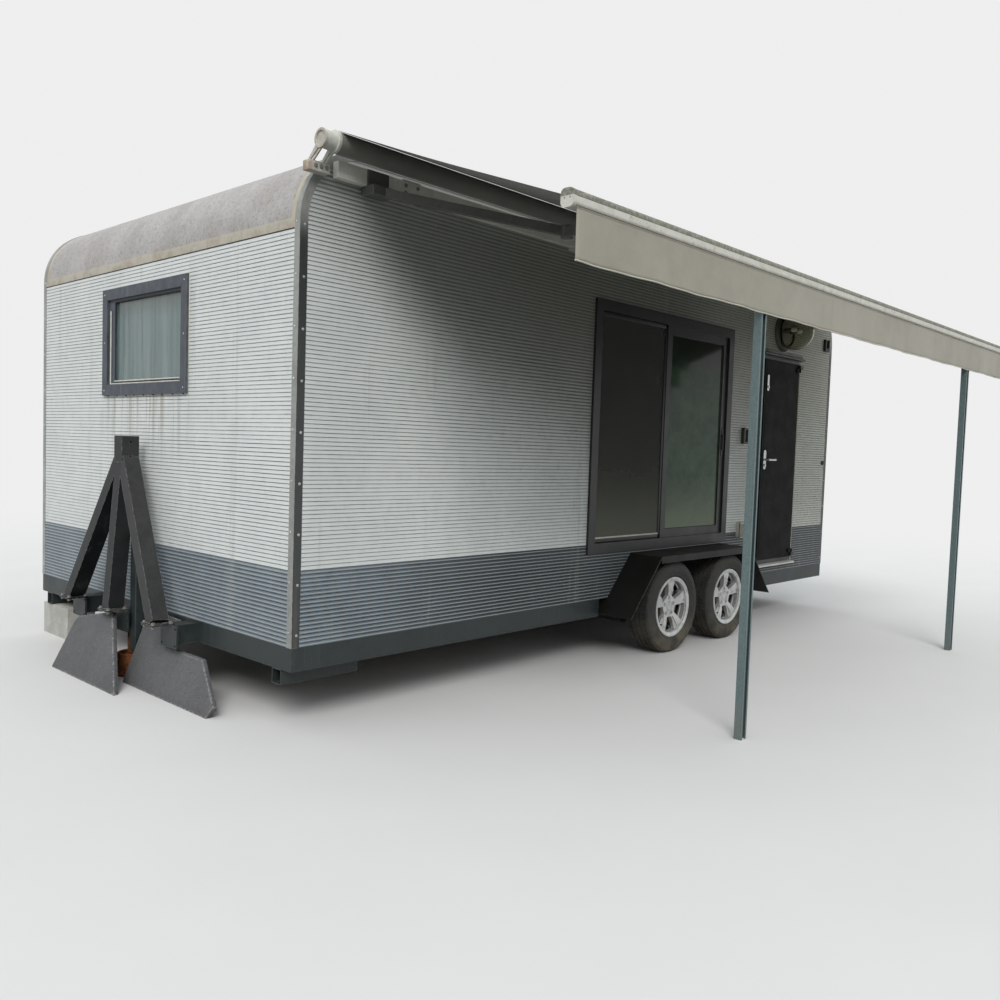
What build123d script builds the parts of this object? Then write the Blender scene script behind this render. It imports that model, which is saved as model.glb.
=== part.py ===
"""Box-bodied tandem-axle travel caravan with a side awning and an upright, bolted drawbar.

Frame: +X forward, towards the drawbar, +Y to the left, the door side, and +Z up.
The origin is on the ground, at the centre of the footprint's box. Millimetres.
Lengths named BACK are measured rearwards from the front wall, and heights from the siding's lower edge.
"""
from build123d import *
from math import sqrt
import os

os.makedirs("parts", exist_ok=True)

# Body
BODY_LENGTH = 5835
BODY_WIDTH = 3000
BODY_HEIGHT = 2380
SIDING_BASE = 400
WALL = 70
ROOF = 60
ROOF_CURVE = 385
FLOOR = 60
TRIM_WIDTH = 42
TRIM_SHEET = 3
FLASHING_DROP = 34
FLASHING_SHEET = 3

# Chassis of open channels, with box stubs for the drawbar and leg sockets at the front corners
RAIL_HEIGHT = 115
RAIL_FLANGE = 75
CHANNEL_SHEET = 7
MAIN_BEAM_OUT = 568
CROSS_HEIGHT = 60
CROSS_FLANGE = 45
CROSS_BAYS = 6
STUB_REACH = 123
STUB_WIDTH = 105
STUB_HEIGHT = 100
STUB_PLATE = 12
STUB_PLATE_WIDTH = 172
STUB_PLATE_HEIGHT = 122
STUB_BOLT_RADIUS = 7
STUB_BOLTS_ACROSS = 144
STUB_BOLTS_UP = 90
SOCKET_SIZE = 78
SOCKET_SHEET = 5
SOCKET_LENGTH = 460
SOCKET_INSET = 82

# Running gear
TYRE_RADIUS = 317.5
TYRE_WIDTH = 195
TYRE_SHOULDER = 26
SHOULDER_WIDTH = 12
SHOULDER_DROP = 14
SHOULDER_CROWN = (7, 5)
TYRE_WALL = 11
TYRE_CROWN = 15
TYRE_BEAD = 20
BEAD_RADIUS = 190.5
RIM_RADIUS = 207.5
RIM_WIDTH = 152
RIM_FLANGE = 9
RIM_SHEET = 8
WELL_RADIUS = 168
WELL_FROM_INNER_LIP = (26, 38)
WELL_FROM_OUTER_LIP = (46, 66)
SPOKES = 5
SPOKE_UP = -90
DISC_SHEET = 26
SPOKE_STEP = 7
SPOKE_ROOT_WIDTH = 44
SPOKE_TIP_WIDTH = 92
WINDOW_FILLET = 7
HUB_FACE_DISH = 22
BOLT_CIRCLE_RADIUS = 57.15
BOLT_POCKET_RADIUS = 13
BOLT_POCKET_DEPTH = 14
POCKET_MARGIN = 5
CAP_RADIUS = 31
CAP_GROOVE = 4
AXLE_MID_BACK = 3360
AXLE_SPACING = 760
WHEEL_PROUD = 220
ARM_RISE = 88
ARM_LENGTH = 130
ARM_SHEET = 35
ARM_INSET = 60
ARM_EYE = 52
ARM_END = 40
SADDLE_SHEET = 10
SADDLE_FOOT = 45
TORSION_TUBE = 90
DRUM_RADIUS = 128
DRUM_DEPTH = 62
HUB_RADIUS = 52
HUB_WALL = 9
BACKPLATE_RADIUS = 133
BACKPLATE_SHEET = 5
SPINDLE_RADIUS = 22
BEARING_GAP = 0.06
DRUM_GAP = 5

# Fender boxes
FENDER_PROUD = 255
FENDER_DEPTH = 455
FENDER_SHEET = 8
FENDER_TOP = 286
FENDER_TOP_LENGTH = 1230
FENDER_DROP = 386
FENDER_SLOPE = 0.88
FENDER_LIP = 45

# Openings in the walls
PATIO_BACK = 2250
PATIO_LENGTH = 1740
PATIO_SILL = 320
PATIO_HEIGHT = 1620
PATIO_BAR = 55
DOOR_BACK = 4500
DOOR_LENGTH = 690
DOOR_SILL = 80
DOOR_HEIGHT = 1740
DOOR_BAR = 28
PORT_LEFT = 478
PORT_RIGHT = -528
PORT_SILL = 1230
PORT_HEIGHT = 608
PORT_BAR = 50
FRAME_PROUD = 18
FRAME_FLANGE = 14
GAP = 6

# Window sashes, glass and the door leaf
SASH_BAR = 62
SASH_DEPTH = 28
TRACK_GAP = 4
GLASS = 6
PORT_STILE = 84
PORT_SASH_BAR = 16
SASH_RECESS = 15
LEAF = 40
HINGE_RADIUS = 9
HINGE_PIN = 4
HINGE_LENGTH = 62
HINGE_STRAP = 5
HINGE_FACE_GAP = 1.5
HANDLE_HEIGHT = 955
HANDLE_INSET = 48
HANDLE_PLATE = (160, 44)
HANDLE_SHEET = 8
LEVER_PROUD = 45
LEVER_RADIUS = 9
LEVER_LENGTH = 118
LOCK_DROP = 48
LOCK_RADIUS = 12
VIEWER_HEIGHT = 1590
VIEWER_PLATE = (30, 130)
VIEWER_DROP = 35
CAP_OVERHANG = 25
# Reach from the wall and height above the door's opening, or below it, round the rain cap and the threshold
CAP_PROFILE = ((0, 0), (45, 0), (45, 12), (14, 26), (14, 45), (0, 45))
SILL_PROFILE = ((0, -2), (40, -10), (40, -24), (36, -24), (36, -14), (0, -8))

# Porch lamp
LAMP_BACK = 4850
LAMP_HEIGHT = 2030
LAMP_RADIUS = 150
LAMP_BASE_DEPTH = 34
LAMP_FOOT = (158, 10)
LAMP_SEAT = 144

# Small fittings on the left wall: how far behind the front wall, height, width, own height and depth
CONTROL_BOX = (4245, 1140, 74, 128, 32)
OUTLET_BOX = (4235, 385, 78, 122, 42)
TOP_HOOK = (5700, 2010, 88, 105, 24)
HOOK_BAR = 14
FITTING_ROUND = 8
FITTING_RIM = 15
FITTING_RECESS = 12
OUTLET_RADIUS = 19
OUTLET_SPACING = 56
OUTLET_LID = 62
# Cable cap: how far behind the front wall, height, radius and depth
CABLE_CAP = (5752, 940, 17, 16)

# Awning
AWNING_FRONT = 22
RAIL_PROUD = 1530
LEAD_RAIL_DEPTH = 60
LEAD_RAIL_HEIGHT = 65
LEAD_RAIL_TOP = 1905
LEAD_RAIL_BACK = 90
LEAD_RAIL_LENGTH = 5700
END_CAP = 16
END_CAP_LIP = 2
RAIL_ROUND = 18
ROLLER_RADIUS = 50
ROLLER_PROUD = 108
ROLLER_BELOW_ROOF = 36
HOUSING_RADIUS = 58
HOUSING_LENGTH = 86
BACK_BAR_HEIGHT = 76
BACK_BAR_DEPTH = 40
BACK_BAR_BELOW_ROOF = 168
BAR_STANDOFF = 12
BRACKET_SHEET = 8
BASE_PLATE_LENGTH = 190
BASE_PLATE_OVERHANG = 52
BASE_PLATE_HEIGHT = 46
CLOTH = 4
CLOTH_SLACK = 1
CLOTH_INSET = 10
VALANCE_DROP = 190
POST_WIDTH = 50
POST_DEPTH = 40
POST_SHEET = 3
POST_LIP = 12
POSTS_BACK = (1580, 4720)
ARM_SHOULDERS_BACK = (400, 5480)
ARM_ELBOW_SHIFT = 600
ARM_BAR_HEIGHT = 44
ARM_BAR_DEPTH = 32
ELBOW_RADIUS = 30
HANGERS_BACK = (620, 2000, 3600, 5240)
HANGER_WIDTH = 120
HANGER_LAP = 14
SHOULDER_LENGTH = 130

# Drawbar standing on its stubs, the loose skirt boards and the stands
DRAWBAR_HEIGHT = 975
DRAWBAR_LEAN = 70
DRAWBAR_FRONT = 225
LEG_FOOT_OUT = 535
LEG_HEAD_OUT = 21
LEG_DEPTH = 92
LEG_WIDTH = 75
HEAD_HEIGHT = 150
HEAD_DEPTH = 100
HEAD_WIDTH = 96
FLANGE = 128
FLANGE_SHEET = 10
FLANGE_BOLTS = 96
BOLT_RADIUS = 7
COUPLER_BOLT_RADIUS = 6.5
COUPLER_BOLT_SPACING = 80
BOARD_REACH = 345
BOARD_SHEET = 28
BOARD_SLOT_GAP = 12
POST_TUBE = 70
JACK_POST_FOOT = 165
JACK_POST_TOP = 820
JACK_RING_RADIUS = 92
JACK_RING_HEIGHT = 128
JACK_SCREW_RADIUS = 26
JACK_HEAD_RADIUS = 46
BLOCK_LENGTH = 390
BLOCK_WIDTH = 190
BLOCK_BEVEL = 6
BLOCKS_BACK = 100
BLOCK_INSET = 5

# Where the body stands in the frame
HALF = BODY_WIDTH / 2
fender_out = HALF + FENDER_PROUD
fender_in = fender_out - FENDER_DEPTH
rail_out = HALF + RAIL_PROUD
FRONT_X = (BODY_LENGTH + TRIM_SHEET - BOARD_REACH) / 2
MID_Y = (fender_out - rail_out) / 2
BASE_Z = SIDING_BASE
HUB_Z = TYRE_RADIUS
ROOF_Z = BASE_Z + BODY_HEIGHT


def back(distance):
    """X of a point this far behind the front wall."""
    return FRONT_X - distance


def out(distance):
    """Y of a point this far to the left of the body's centre line."""
    return MID_Y + distance


def up(height):
    """Z of a point this far above the siding's lower edge."""
    return BASE_Z + height


def block(x, y, z, mode=Mode.ADD):
    """Box between three pairs of places."""
    with Locations(((x[0] + x[1]) / 2, (y[0] + y[1]) / 2, (z[0] + z[1]) / 2)):
        Box(abs(x[1] - x[0]), abs(y[1] - y[0]), abs(z[1] - z[0]), mode=mode)


def rod(start, end, radius, mode=Mode.ADD):
    """Round bar between two points."""
    run = Vector(*end) - Vector(*start)
    with BuildSketch(Plane(origin=start, z_dir=run)) as section:
        Circle(radius)
    extrude(section.sketch, amount=run.length, mode=mode)


def bar(start, end, width, depth, across, mode=Mode.ADD):
    """Square-cut bar between two points, its width measured along `across`."""
    run = Vector(*end) - Vector(*start)
    with BuildSketch(Plane(origin=start, x_dir=across, z_dir=run)) as section:
        Rectangle(width, depth)
    extrude(section.sketch, amount=run.length, mode=mode)


def channel(x, y, z, web, sheet=CHANNEL_SHEET):
    """Open channel between three pairs of places; `web` names its closed side as an axis and a sign."""
    axis, sign = web
    inner = {"x": list(x), "y": list(y), "z": (z[0] + sheet, z[1] - sheet)}
    low, high = sorted(inner[axis])
    inner[axis] = (low, high - sheet) if sign > 0 else (low + sheet, high)
    block(x, y, z)
    block(inner["x"], inner["y"], inner["z"], mode=Mode.SUBTRACT)


def side_plane(y):
    """Upright plane along the body, whose sketches read X and Z and extrude to the right."""
    return Plane.XZ.offset(-y)


def end_plane(x):
    """Upright plane across the body, whose sketches read Y and Z and extrude forwards."""
    return Plane.YZ.offset(x)


def save(part, label):
    """Name a finished piece and write it."""
    part.label = label
    export_step(part, f"parts/{label}.step")


# Chassis: side rails broken at the wheels, main beams, cross members, stubs and leg sockets
rail_z = (up(-RAIL_HEIGHT), up(0))
fender_half_top = FENDER_TOP_LENGTH / 2
fender_half_base = fender_half_top + FENDER_DROP * FENDER_SLOPE
break_front = AXLE_MID_BACK - fender_half_base - GAP
break_rear = AXLE_MID_BACK + fender_half_base + GAP

with BuildPart() as side_rails:
    for side in (1, -1):
        y = (out(side * (HALF - RAIL_FLANGE)), out(side * HALF))
        channel((back(RAIL_FLANGE), back(break_front)), y, rail_z, ("y", side))
        channel((back(break_rear), back(BODY_LENGTH - RAIL_FLANGE)), y, rail_z, ("y", side))
save(side_rails.part, "chassis_side_rails")

with BuildPart() as main_beams:
    for side in (1, -1):
        y = (out(side * (MAIN_BEAM_OUT - RAIL_FLANGE / 2)), out(side * (MAIN_BEAM_OUT + RAIL_FLANGE / 2)))
        channel((back(RAIL_FLANGE), back(BODY_LENGTH - RAIL_FLANGE)), y, rail_z, ("y", side))
save(main_beams.part, "chassis_main_beams")

bay = (BODY_LENGTH - 2 * RAIL_FLANGE) / CROSS_BAYS
with BuildPart() as cross_members:
    channel((back(0), back(RAIL_FLANGE)), (out(-HALF), out(HALF)), rail_z, ("x", 1))
    channel((back(BODY_LENGTH), back(BODY_LENGTH - RAIL_FLANGE)), (out(-HALF), out(HALF)), rail_z, ("x", -1))
    for station in range(1, CROSS_BAYS):
        middle = back(RAIL_FLANGE + station * bay)
        x = (middle - CROSS_FLANGE / 2, middle + CROSS_FLANGE / 2)
        at_wheels = abs(back(AXLE_MID_BACK) - middle) < fender_half_base + CROSS_FLANGE
        reach = fender_in - GAP if at_wheels else HALF - RAIL_FLANGE
        z = (up(-CROSS_HEIGHT), up(0))
        inner_end = MAIN_BEAM_OUT - RAIL_FLANGE / 2
        channel(x, (out(-inner_end), out(inner_end)), z, ("x", 1))
        for side in (1, -1):
            channel(x, (out(side * (MAIN_BEAM_OUT + RAIL_FLANGE / 2)), out(side * reach)), z, ("x", 1))
save(cross_members.part, "chassis_cross_members")

stub_top = rail_z[0] + STUB_HEIGHT
plate_z = (stub_top - STUB_PLATE_HEIGHT, stub_top)
with BuildPart() as stubs:
    for middle in (-MAIN_BEAM_OUT, 0, MAIN_BEAM_OUT):
        y = (out(middle - STUB_WIDTH / 2), out(middle + STUB_WIDTH / 2))
        block((back(0), back(-STUB_REACH)), y, (rail_z[0], stub_top))
        with BuildSketch(end_plane(back(-STUB_REACH))):
            with Locations((out(middle), sum(plate_z) / 2)):
                RectangleRounded(STUB_PLATE_WIDTH, STUB_PLATE_HEIGHT, STUB_PLATE / 2)
                with GridLocations(STUB_BOLTS_ACROSS, STUB_BOLTS_UP, 2, 2):
                    Circle(STUB_BOLT_RADIUS, mode=Mode.SUBTRACT)
        extrude(amount=STUB_PLATE)
save(stubs.part, "drawbar_stubs")

with BuildPart() as sockets:
    for side in (1, -1):
        middle = side * (HALF - SOCKET_INSET - SOCKET_SIZE / 2)
        with BuildSketch(end_plane(back(SOCKET_LENGTH))):
            with Locations((out(middle), rail_z[0] - SOCKET_SIZE / 2)):
                RectangleRounded(SOCKET_SIZE, SOCKET_SIZE, 2 * SOCKET_SHEET)
                RectangleRounded(SOCKET_SIZE - 2 * SOCKET_SHEET, SOCKET_SIZE - 2 * SOCKET_SHEET, SOCKET_SHEET,
                                 mode=Mode.SUBTRACT)
        extrude(amount=SOCKET_LENGTH)
save(sockets.part, "corner_leg_sockets")

# Cabin shell
with BuildPart() as floor:
    block((back(WALL), back(BODY_LENGTH - WALL)), (out(WALL - HALF), out(HALF - WALL)), (up(0), up(FLOOR)))
    x = (back(break_front), back(break_rear))
    for side in (1, -1):
        block(x, (out(side * (fender_in - GAP)), out(side * HALF)), (up(0), up(FLOOR)), mode=Mode.SUBTRACT)
save(floor.part, "floor_panel")


def shell_outline(inset=0, mode=Mode.ADD):
    """Side view of the body: square below, rounded to the roof at both ends."""
    front, rear = back(inset), back(BODY_LENGTH - inset)
    top = up(BODY_HEIGHT - inset)
    radius = ROOF_CURVE - inset
    with BuildLine() as outline:
        Polyline((front, top - radius), (front, up(0)), (rear, up(0)), (rear, top - radius))
        CenterArc((rear + radius, top - radius), radius, 90, 90)
        Line((rear + radius, top), (front - radius, top))
        CenterArc((front - radius, top - radius), radius, 0, 90)
    make_face(outline.edges(), mode=mode)


def fender_outline(grow=0, mode=Mode.ADD):
    """Side view of a fender box, flat on top with sloping ends."""
    shift = grow * sqrt(1 + FENDER_SLOPE ** 2)
    half_high = fender_half_top + shift - grow * FENDER_SLOPE
    half_low = fender_half_base + shift
    high, low = up(FENDER_TOP + grow), up(FENDER_TOP - FENDER_DROP)
    with BuildLine() as outline:
        Polyline((back(AXLE_MID_BACK - half_low), low), (back(AXLE_MID_BACK - half_high), high),
                 (back(AXLE_MID_BACK + half_high), high), (back(AXLE_MID_BACK + half_low), low), close=True)
    make_face(outline.edges(), mode=mode)


def side_opening(first, length, sill, height, inset=0, mode=Mode.SUBTRACT):
    """Rectangle in the side view, `first` behind the front wall and `sill` above the siding's edge."""
    with Locations((back(first + length / 2), up(sill + height / 2))):
        Rectangle(length - 2 * inset, height - 2 * inset, mode=mode)


PATIO = (PATIO_BACK, PATIO_LENGTH, PATIO_SILL, PATIO_HEIGHT)
DOOR = (DOOR_BACK, DOOR_LENGTH, DOOR_SILL, DOOR_HEIGHT)

with BuildPart() as left_wall:
    with BuildSketch(side_plane(out(HALF))):
        shell_outline()
        fender_outline(GAP, Mode.SUBTRACT)
        side_opening(*PATIO)
        side_opening(*DOOR)
    extrude(amount=WALL)
save(left_wall.part, "left_wall")

with BuildPart() as right_wall:
    with BuildSketch(side_plane(out(WALL - HALF))):
        shell_outline()
        fender_outline(GAP, Mode.SUBTRACT)
    extrude(amount=WALL)
save(right_wall.part, "right_wall")

inside_y = (out(WALL - HALF), out(HALF - WALL))
curve_base = BODY_HEIGHT - ROOF_CURVE
port_y = (out(PORT_RIGHT), out(PORT_LEFT))
port_z = (up(PORT_SILL), up(PORT_SILL + PORT_HEIGHT))

with BuildPart() as front_wall:
    block((back(0), back(WALL)), inside_y, (up(0), up(curve_base)))
    block((back(0), back(WALL)), port_y, port_z, mode=Mode.SUBTRACT)
save(front_wall.part, "front_wall")

with BuildPart() as rear_wall:
    block((back(BODY_LENGTH - WALL), back(BODY_LENGTH)), inside_y, (up(0), up(curve_base)))
save(rear_wall.part, "rear_wall")

# Curved caps between the roof and the end walls, each with a flashing that laps over the siding
flashing_y = (out(TRIM_WIDTH - TRIM_SHEET - HALF), out(HALF + TRIM_SHEET - TRIM_WIDTH))
flashing_z = (up(curve_base - FLASHING_DROP), up(curve_base))
# Name, centre of the curve behind the front wall, first angle, wall face behind the front wall, outward sign
CURVED_CAPS = (("roof_front_curve", ROOF_CURVE, 0, 0, 1),
               ("roof_rear_curve", BODY_LENGTH - ROOF_CURVE, 90, BODY_LENGTH, -1))
for name, centre, first_angle, face, outward in CURVED_CAPS:
    with BuildPart() as cap:
        with BuildSketch(side_plane(inside_y[1])):
            with Locations((back(centre), up(curve_base))):
                Circle(ROOF_CURVE)
                Circle(ROOF_CURVE - ROOF, mode=Mode.SUBTRACT)
                Rectangle(ROOF_CURVE, ROOF_CURVE, rotation=first_angle, align=(Align.MIN, Align.MIN),
                          mode=Mode.INTERSECT)
        extrude(amount=inside_y[1] - inside_y[0])
        x = (back(face), back(face) + outward * FLASHING_SHEET)
        block(x, flashing_y, flashing_z)
        upper = (flashing_z[1], flashing_z[1] + FLASHING_SHEET)
        block((x[0] - outward * FLASHING_SHEET, x[1]), inside_y, upper)
    save(cap.part, name)

with BuildPart() as roof:
    block((back(ROOF_CURVE), back(BODY_LENGTH - ROOF_CURVE)), inside_y, (up(BODY_HEIGHT - ROOF), ROOF_Z))
save(roof.part, "roof_panel")

# Aluminium angle strips along the outline of both sides
with BuildPart() as edge_trims:
    for side in (1, -1):
        face = out(side * (HALF + TRIM_SHEET))
        start = face if side > 0 else face + TRIM_WIDTH
        with BuildSketch(side_plane(start)):
            shell_outline(-TRIM_SHEET)
            shell_outline(TRIM_WIDTH, Mode.SUBTRACT)
        extrude(amount=TRIM_WIDTH)
        body_start = out(HALF) if side > 0 else face + TRIM_WIDTH
        with BuildSketch(side_plane(body_start)):
            shell_outline()
        extrude(amount=TRIM_WIDTH - TRIM_SHEET, mode=Mode.SUBTRACT)
save(edge_trims.part, "edge_trims")

# Fender boxes: a shelf with sloping ends, an inner panel and a turned-down lip
with BuildPart() as fenders:
    for side in (1, -1):
        outer, inner = out(side * fender_out), out(side * fender_in)
        lip = (outer, outer - side * FENDER_SHEET)
        with BuildSketch(side_plane(max(outer, inner))):
            fender_outline()
        extrude(amount=FENDER_DEPTH)
        with BuildSketch(side_plane(max(outer, inner + side * FENDER_SHEET))):
            fender_outline(-FENDER_SHEET)
        extrude(amount=FENDER_DEPTH - FENDER_SHEET, mode=Mode.SUBTRACT)
        x = (back(AXLE_MID_BACK - fender_half_top), back(AXLE_MID_BACK + fender_half_top))
        block(x, lip, (up(FENDER_TOP - FENDER_LIP), up(FENDER_TOP - FENDER_SHEET)))
save(fenders.part, "fenders")

# Front window: a flanged frame with a sash inside it, wider at its right stile, and one pane
port_mid = (sum(port_y) / 2, sum(port_z) / 2)
port_width = PORT_LEFT - PORT_RIGHT
pane_y = (port_y[0] + PORT_BAR + PORT_STILE, port_y[1] - PORT_BAR - PORT_SASH_BAR)
pane_z = (port_z[0] + PORT_BAR + PORT_SASH_BAR, port_z[1] - PORT_BAR - PORT_SASH_BAR)
sash_face = back(0) + FRAME_PROUD - SASH_RECESS
with BuildPart() as port_frame:
    with BuildSketch(end_plane(back(WALL))):
        with Locations(port_mid):
            Rectangle(port_width, PORT_HEIGHT)
            Rectangle(port_width - 2 * PORT_BAR, PORT_HEIGHT - 2 * PORT_BAR, mode=Mode.SUBTRACT)
    extrude(amount=WALL)
    with BuildSketch(end_plane(back(0))):
        with Locations(port_mid):
            Rectangle(port_width + 2 * FRAME_FLANGE, PORT_HEIGHT + 2 * FRAME_FLANGE)
            Rectangle(port_width - 2 * PORT_BAR, PORT_HEIGHT - 2 * PORT_BAR, mode=Mode.SUBTRACT)
    extrude(amount=FRAME_PROUD)
    sash_y = (port_y[0] + PORT_BAR, port_y[1] - PORT_BAR)
    sash_z = (port_z[0] + PORT_BAR, port_z[1] - PORT_BAR)
    block((sash_face - SASH_DEPTH, sash_face), sash_y, sash_z)
    block((sash_face - SASH_DEPTH, sash_face), pane_y, pane_z, mode=Mode.SUBTRACT)
save(port_frame.part, "front_window_frame")

with BuildPart() as port_glass:
    middle = sash_face - SASH_DEPTH / 2
    block((middle - GLASS / 2, middle + GLASS / 2), pane_y, pane_z)
save(port_glass.part, "front_window_glass")

# Patio window: a flanged frame with a track between two sashes, which slide past each other
patio_mid = PATIO_BACK + PATIO_LENGTH / 2
sash_length = PATIO_LENGTH / 2 - PATIO_BAR + SASH_BAR / 2
sash_sill = PATIO_SILL + PATIO_BAR
sash_height = PATIO_HEIGHT - 2 * PATIO_BAR
outer_track = HALF + FRAME_PROUD - SASH_RECESS
with BuildPart() as patio_frame:
    with BuildSketch(side_plane(out(HALF))):
        side_opening(*PATIO, mode=Mode.ADD)
        side_opening(*PATIO, inset=PATIO_BAR)
    extrude(amount=WALL)
    with BuildSketch(side_plane(out(HALF + FRAME_PROUD))):
        side_opening(*PATIO, inset=-FRAME_FLANGE, mode=Mode.ADD)
        side_opening(*PATIO, inset=PATIO_BAR)
    extrude(amount=FRAME_PROUD)
    with BuildSketch(side_plane(out(outer_track - SASH_DEPTH))):
        side_opening(*PATIO, inset=PATIO_BAR, mode=Mode.ADD)
        side_opening(*PATIO, inset=PATIO_BAR + 2 * TRACK_GAP)
    extrude(amount=TRACK_GAP)
save(patio_frame.part, "patio_window_frame")

# First edge behind the front wall and the outer face of each sash
SASHES = ((PATIO_BACK + PATIO_BAR, outer_track - SASH_DEPTH - TRACK_GAP),
          (patio_mid - SASH_BAR / 2, outer_track))
with BuildPart() as sashes:
    for first, face in SASHES:
        with BuildSketch(side_plane(out(face))):
            side_opening(first, sash_length, sash_sill, sash_height, mode=Mode.ADD)
            side_opening(first, sash_length, sash_sill, sash_height, inset=SASH_BAR)
        extrude(amount=SASH_DEPTH)
save(sashes.part, "patio_sashes")

with BuildPart() as panes:
    for first, face in SASHES:
        with BuildSketch(side_plane(out(face - SASH_DEPTH / 2 + GLASS / 2))):
            side_opening(first, sash_length, sash_sill, sash_height, inset=SASH_BAR, mode=Mode.ADD)
        extrude(amount=GLASS)
save(panes.part, "patio_glass")

# Door: a frame in the wall and a leaf on two upright pins at its rear edge
leaf_x = (back(DOOR_BACK + DOOR_BAR + GAP), back(DOOR_BACK + DOOR_LENGTH - DOOR_BAR - GAP))
leaf_z = (up(DOOR_SILL + DOOR_BAR + GAP), up(DOOR_SILL + DOOR_HEIGHT - DOOR_BAR - GAP))
leaf_y = (out(HALF + FRAME_PROUD - LEAF), out(HALF + FRAME_PROUD))
pin_x = leaf_x[1] + HINGE_RADIUS
pin_y = leaf_y[1] + HINGE_RADIUS + 2
leaf_knuckle = HINGE_LENGTH / 2 - HINGE_FACE_GAP / 2
# Bottom of each hinge, and which half of it the leaf's knuckle takes: 1 above, 0 below
HINGES = ((leaf_z[0] + GAP, 1), (leaf_z[1] - GAP - HINGE_LENGTH, 0))


def hinge_knuckle(x_end, foot_y, low, length):
    """Barrel round the hinge pin with a strap to x_end, whose far end stands on foot_y."""
    strap_y = (pin_y - HINGE_STRAP / 2, pin_y + HINGE_STRAP / 2)
    rod((pin_x, pin_y, low), (pin_x, pin_y, low + length), HINGE_RADIUS)
    block((pin_x, x_end), strap_y, (low, low + length))
    pad = (x_end, (x_end + pin_x) / 2)
    block(pad, (foot_y, strap_y[1]), (low, low + length))


with BuildPart() as door_frame:
    with BuildSketch(side_plane(out(HALF))):
        side_opening(*DOOR, mode=Mode.ADD)
        side_opening(*DOOR, inset=DOOR_BAR)
    extrude(amount=WALL)
    for low, leaf_half in HINGES:
        base = low if leaf_half else low + HINGE_LENGTH - leaf_knuckle
        hinge_knuckle(pin_x - 6 * HINGE_RADIUS, out(HALF), base, leaf_knuckle)
        rod((pin_x, pin_y, low), (pin_x, pin_y, low + HINGE_LENGTH), HINGE_PIN)
save(door_frame.part, "door_frame")

with BuildPart() as leaf:
    block(leaf_x, leaf_y, leaf_z)
    for low, leaf_half in HINGES:
        base = low + HINGE_LENGTH - leaf_knuckle if leaf_half else low
        hinge_knuckle(pin_x + 6 * HINGE_RADIUS, leaf_y[1], base, leaf_knuckle)
        rod((pin_x, pin_y, low), (pin_x, pin_y, low + HINGE_LENGTH), HINGE_PIN + BEARING_GAP, Mode.SUBTRACT)
save(leaf.part, "door_leaf")

# Lever with its back plate and lock, and a plate with a viewer above it
handle_x = leaf_x[0] - HANDLE_INSET
lever_y = leaf_y[1] + LEVER_PROUD
lever_z = up(HANDLE_HEIGHT)
with BuildPart() as handle:
    with BuildSketch(side_plane(leaf_y[1] + HANDLE_SHEET)):
        with Locations((handle_x, lever_z)):
            SlotOverall(*HANDLE_PLATE, rotation=90)
        with Locations((handle_x, up(VIEWER_HEIGHT))):
            RectangleRounded(*VIEWER_PLATE, FITTING_ROUND)
    extrude(amount=HANDLE_SHEET)
    rod((handle_x, leaf_y[1], lever_z), (handle_x, lever_y + LEVER_RADIUS, lever_z), LEVER_RADIUS)
    rod((handle_x + LEVER_RADIUS, lever_y, lever_z), (handle_x - LEVER_LENGTH, lever_y, lever_z), LEVER_RADIUS)
    for height, radius in ((lever_z - LOCK_DROP, LOCK_RADIUS), (up(VIEWER_HEIGHT - VIEWER_DROP), LEVER_RADIUS)):
        rod((handle_x, leaf_y[1], height), (handle_x, leaf_y[1] + 2 * HANDLE_SHEET, height), radius)
save(handle.part, "door_handle")

# Rain cap and threshold: name, profile, height that it is measured from and overhang past the opening
DOOR_STRIPS = (("door_rain_cap", CAP_PROFILE, DOOR_SILL + DOOR_HEIGHT, CAP_OVERHANG),
               ("door_sill", SILL_PROFILE, DOOR_SILL, GAP))
for name, profile, level, overhang in DOOR_STRIPS:
    with BuildPart() as strip:
        with BuildSketch(end_plane(back(DOOR_BACK + DOOR_LENGTH + overhang))):
            with BuildLine():
                Polyline(*[(out(HALF + reach), up(level + rise)) for reach, rise in profile], close=True)
            make_face()
        extrude(amount=DOOR_LENGTH + 2 * overhang)
    save(strip.part, name)

# Porch lamp: a stepped round base and the clear globe that sits in it
lamp_x, lamp_z = back(LAMP_BACK), up(LAMP_HEIGHT)
globe_y = out(HALF + LAMP_BASE_DEPTH) + LAMP_RADIUS / 2
lamp_axis = Axis((lamp_x, globe_y, lamp_z), (0, 1, 0))
lamp_section = Plane(origin=(lamp_x, out(HALF), lamp_z), x_dir=(1, 0, 0), z_dir=(0, 0, 1))
with BuildPart() as lamp_base:
    with BuildSketch(lamp_section):
        with BuildLine():
            Polyline((0, 0), (LAMP_FOOT[0], 0), LAMP_FOOT, (LAMP_SEAT, LAMP_BASE_DEPTH), (0, LAMP_BASE_DEPTH),
                     close=True)
        make_face()
    revolve(axis=lamp_axis)
save(lamp_base.part, "porch_lamp_base")

with BuildPart() as lamp_globe:
    with Locations((lamp_x, globe_y, lamp_z)):
        Sphere(LAMP_RADIUS)
    base_face = Plane(origin=(lamp_x, out(HALF + LAMP_BASE_DEPTH), lamp_z), z_dir=(0, 1, 0))
    split(bisect_by=base_face, keep=Keep.TOP)
save(lamp_globe.part, "porch_lamp_globe")

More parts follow.
